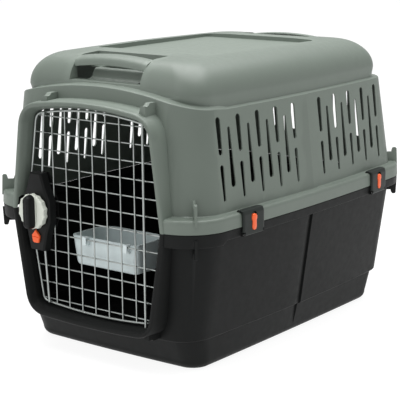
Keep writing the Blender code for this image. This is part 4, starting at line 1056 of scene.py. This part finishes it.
def build_knob():
    """The turning knob with a groove round its ribbed grip."""
    axis = Vector((KNOB_X, 0, KNOB_Z))
    knob = solid("knob_disc", [knob_ring(axis, y, share) for y, share in KNOB_STATIONS])
    boolean(knob, bar("shaft", axis + Vector((0, -0.33, 0)), axis + Vector((0, -0.3228, 0)), 0.005,
                      FINE_ROUND), "UNION")
    groove = solid("groove", [bar_ring(axis, y, 0.0142, 0.0262) for y in (-0.342, -0.3372)])
    core = solid("groove_core", [bar_ring(axis, y, 0.0122, 0.04) for y in (-0.343, -0.3362)])
    boolean(groove, core)
    boolean(knob, groove)
    dress(knob, "lock_knob", SILVER, 0.0003, 40)
    grip = solid("knob_bar", [bar_ring(axis, y, half, high) for y, half, high in GRIP_STATIONS])
    bm = bmesh.new()
    for side in (-1, 1):
        for i in range(-2, 3):
            box(bm, (-0.0006, -0.001, -0.0034), (0.0006, 0.001, 0.0034),
                axis + Vector((side * 0.0032, -0.3524, i * 0.0085)))
    boolean(grip, add_object("bar_ribs", bm))
    dress(grip, "knob_grip", BLACK, 0.0004, 40)


def build_lock_housing():
    """The hollow lock housing, and the plate and screws that hold it from behind."""
    housing = solid("lock_cover", [housing_ring(HOUSING_BACK),
                                   housing_ring(HOUSING_FRONT + 0.003, 0.0008),
                                   housing_ring(HOUSING_FRONT, 0.003)])
    boolean(housing, solid("housing_cavity", [housing_ring(HOUSING_BACK + 0.002, 0.002),
                                              housing_ring(HOUSING_FRONT + 0.0025, 0.002)]))
    bm = bmesh.new()
    rod(bm, *((KNOB_X, HOUSING_FRONT + y, KNOB_Z) for y in (-0.003, 0.006)), 0.0054, FINE_ROUND)
    for upper in (True, False):
        rod(bm, along_rod(upper, 0.05), along_rod(upper, 0.08), ROD_R + 0.0005, 16)
    box(bm, (-0.0025, -0.002, -0.005 - CATCH_TRAVEL), (0.0025, 0.005, 0.006), CATCH_PLACE)
    boolean(housing, add_object("housing_holes", bm))
    dress(housing, "lock_housing", BLACK, 0.0009)
    plate = solid("lock_rear_plate", [housing_ring(DOOR_Y + 0.003, 0.001),
                                      housing_ring(DOOR_Y + 0.0075, 0.003)])
    spots = [Vector((KNOB_X + x, DOOR_Y, KNOB_Z + z)) for x, z in SCREW_SPOTS]
    bm = bmesh.new()
    for spot in spots:
        turned_y(bm, spot, SCREW_HOLE)
    boolean(plate, add_object("screw_holes", bm))
    dress(plate, "lock_back_plate", BLACK, 0.0006)
    for i, spot in enumerate(spots, 1):
        bm = bmesh.new()
        turned_y(bm, spot, SCREW_SHAPE, FINE_ROUND)
        screw = add_object("plate_screw_%d" % i, bm)
        boolean(screw, block("screw_slot", (-0.0018, 0.0072, -0.0003), (0.0018, 0.0096, 0.0003),
                             spot))
        dress(screw, "lock_screw_%d" % i, STEEL, 0.0001)


def build_safety_catch():
    """A small orange slide under the knob, with a tongue through the housing."""
    outline = list(CATCH_OUTLINE) + [(-x, z) for x, z in reversed(CATCH_OUTLINE[1:])]
    stations = ((-GAP, 1.0), (-0.0028, 1.0), (-0.0036, 0.95), (-0.004, 0.85))
    catch = solid("catch_slide", [[CATCH_PLACE + Vector((x * share, y, z * share))
                                   for x, z in outline] for y, share in stations])
    boolean(catch, block("catch_tongue", (-0.002, -0.001, -0.004), (0.002, 0.0035, 0.005),
                         CATCH_PLACE), "UNION")
    boolean(catch, block("catch_groove", (-0.012, -0.005, -0.0026), (0.012, -0.0028, -0.0014),
                         CATCH_PLACE))
    dress(catch, "safety_catch", ORANGE, 0.0004)


def bowl_hooks():
    """Two hooks that hang over a cross wire of the door."""
    bm = bmesh.new()
    wire_y, wire_z = DOOR_Y + WIRE_OFFSET, GRID_Z - CELL_H
    back, front = wire_y + WIRE_R + 0.0003, wire_y - WIRE_R - 0.0003
    top = wire_z + WIRE_R + 0.0003
    outline = [(back + 0.006, top - 0.012), (back + 0.006, top + 0.003),
               (front - 0.002, top + 0.003), (front - 0.002, top - 0.01), (front, top - 0.01),
               (front, top), (back, top), (back, top - 0.012)]
    for x in HOOK_X:
        prism(bm, [(x - 0.004, y, z) for y, z in outline], (0.008, 0, 0))
    return add_object("hooks", bm)


def build_bowl():
    """The hanging bowl with its hooks and its hollow."""
    bottom = BOWL_RIM_Z - BOWL_HIGH
    rings = [bowl_ring(share, bottom + up, corner) for share, up, corner in BOWL_LOW]
    rings += [bowl_ring(share, BOWL_RIM_Z - down, corner) for share, down, corner in BOWL_TOP]
    bowl = solid("hanging_bowl", rings)
    boolean(bowl, bowl_hooks(), "UNION")
    inner = ((0.12, bottom + BOWL_WALL), (0.4, bottom + 0.005), (0.55, bottom + 0.011),
             (0.93, BOWL_RIM_Z - 0.003), (0.985, BOWL_RIM_Z + 0.0005))
    shrink = 1 - BOWL_WALL / BOWL_DEEP * 2.2
    rings = []
    for share, z in inner:
        centre = Vector((BOWL_X, BOWL_FRONT + BOWL_DEEP / 2, z))
        rings.append([centre + (Vector(p) - centre) * shrink for p in bowl_ring(share, z, 0.009)])
    boolean(bowl, solid("bowl_inside", rings))
    dress(bowl, "water_bowl", BOWL_GREY, 0.0005)


build_upper_shell()
build_lower_tub()
build_door_grid()
build_rods()
build_lock_housing()
build_knob()
build_safety_catch()
build_bowl()
for side, side_name in ((1, "right"), (-1, "left")):
    for end, end_name in ((-1, "front"), (1, "rear")):
        build_latch(side, end, end_name + "_" + side_name)
cam = frame["nodes"]["lock_cam"]
cam.data.materials.clear()
cam.data.materials.append(BLACK)


def area_light(name, place, size, power):
    """A square lamp aimed at the middle of the carrier."""
    light = bpy.data.lights.new(name, "AREA")
    light.shape = "SQUARE"
    light.size = size
    light.energy = power
    lamp = bpy.data.objects.new(name, light)
    bpy.context.scene.collection.objects.link(lamp)
    lamp.location = place
    lamp.rotation_euler = (Vector(LIGHT_TARGET) - Vector(place)).to_track_quat("-Z", "Y").to_euler()


def build_floor():
    """A wide pale floor that glows enough to read as white."""
    bm = bmesh.new()
    bmesh.ops.create_grid(bm, x_segments=1, y_segments=1, size=30.0)
    floor = add_object("studio_floor", bm)
    finish, _, shader = new_material("studio_white")
    values = {"Base Color": (0.16, 0.16, 0.16, 1.0), "Roughness": 0.9, "Specular IOR Level": 0.1,
              "Emission Color": (1.0, 1.0, 1.0, 1.0), "Emission Strength": FLOOR_GLOW}
    for socket, value in values.items():
        shader.inputs[socket].default_value = value
    floor.data.materials.append(finish)


def build_camera():
    """The camera at the place and angles solved from the photo."""
    turn, tilt, roll = (math.radians(a) for a in CAMERA_ANGLES)
    aim = Matrix.Rotation(turn, 4, "Z") @ Matrix.Rotation(math.pi / 2 - tilt, 4, "X")
    lens = bpy.data.cameras.new("studio_camera")
    lens.lens = CAMERA_LENS
    lens.sensor_width = SENSOR
    camera = bpy.data.objects.new("studio_camera", lens)
    bpy.context.scene.collection.objects.link(camera)
    camera.matrix_world = Matrix.Translation(CAMERA_PLACE) @ aim @ Matrix.Rotation(roll, 4, "Z")
    bpy.context.scene.camera = camera


build_floor()
build_camera()
area_light("overhead", (-0.1, 0.2, 2.8), 3.0, 150)
area_light("front_fill", (-1.0, -2.6, 1.7), 1.6, 16)
world = bpy.data.worlds.new("studio_air")
world.use_nodes = True
air = world.node_tree.nodes["Background"].inputs
air["Color"].default_value = (1.0, 1.0, 1.0, 1.0)
air["Strength"].default_value = AIR_STRENGTH
bpy.context.scene.world = world
bpy.context.scene.view_settings.view_transform = "Standard"

bpy.context.view_layer.update()
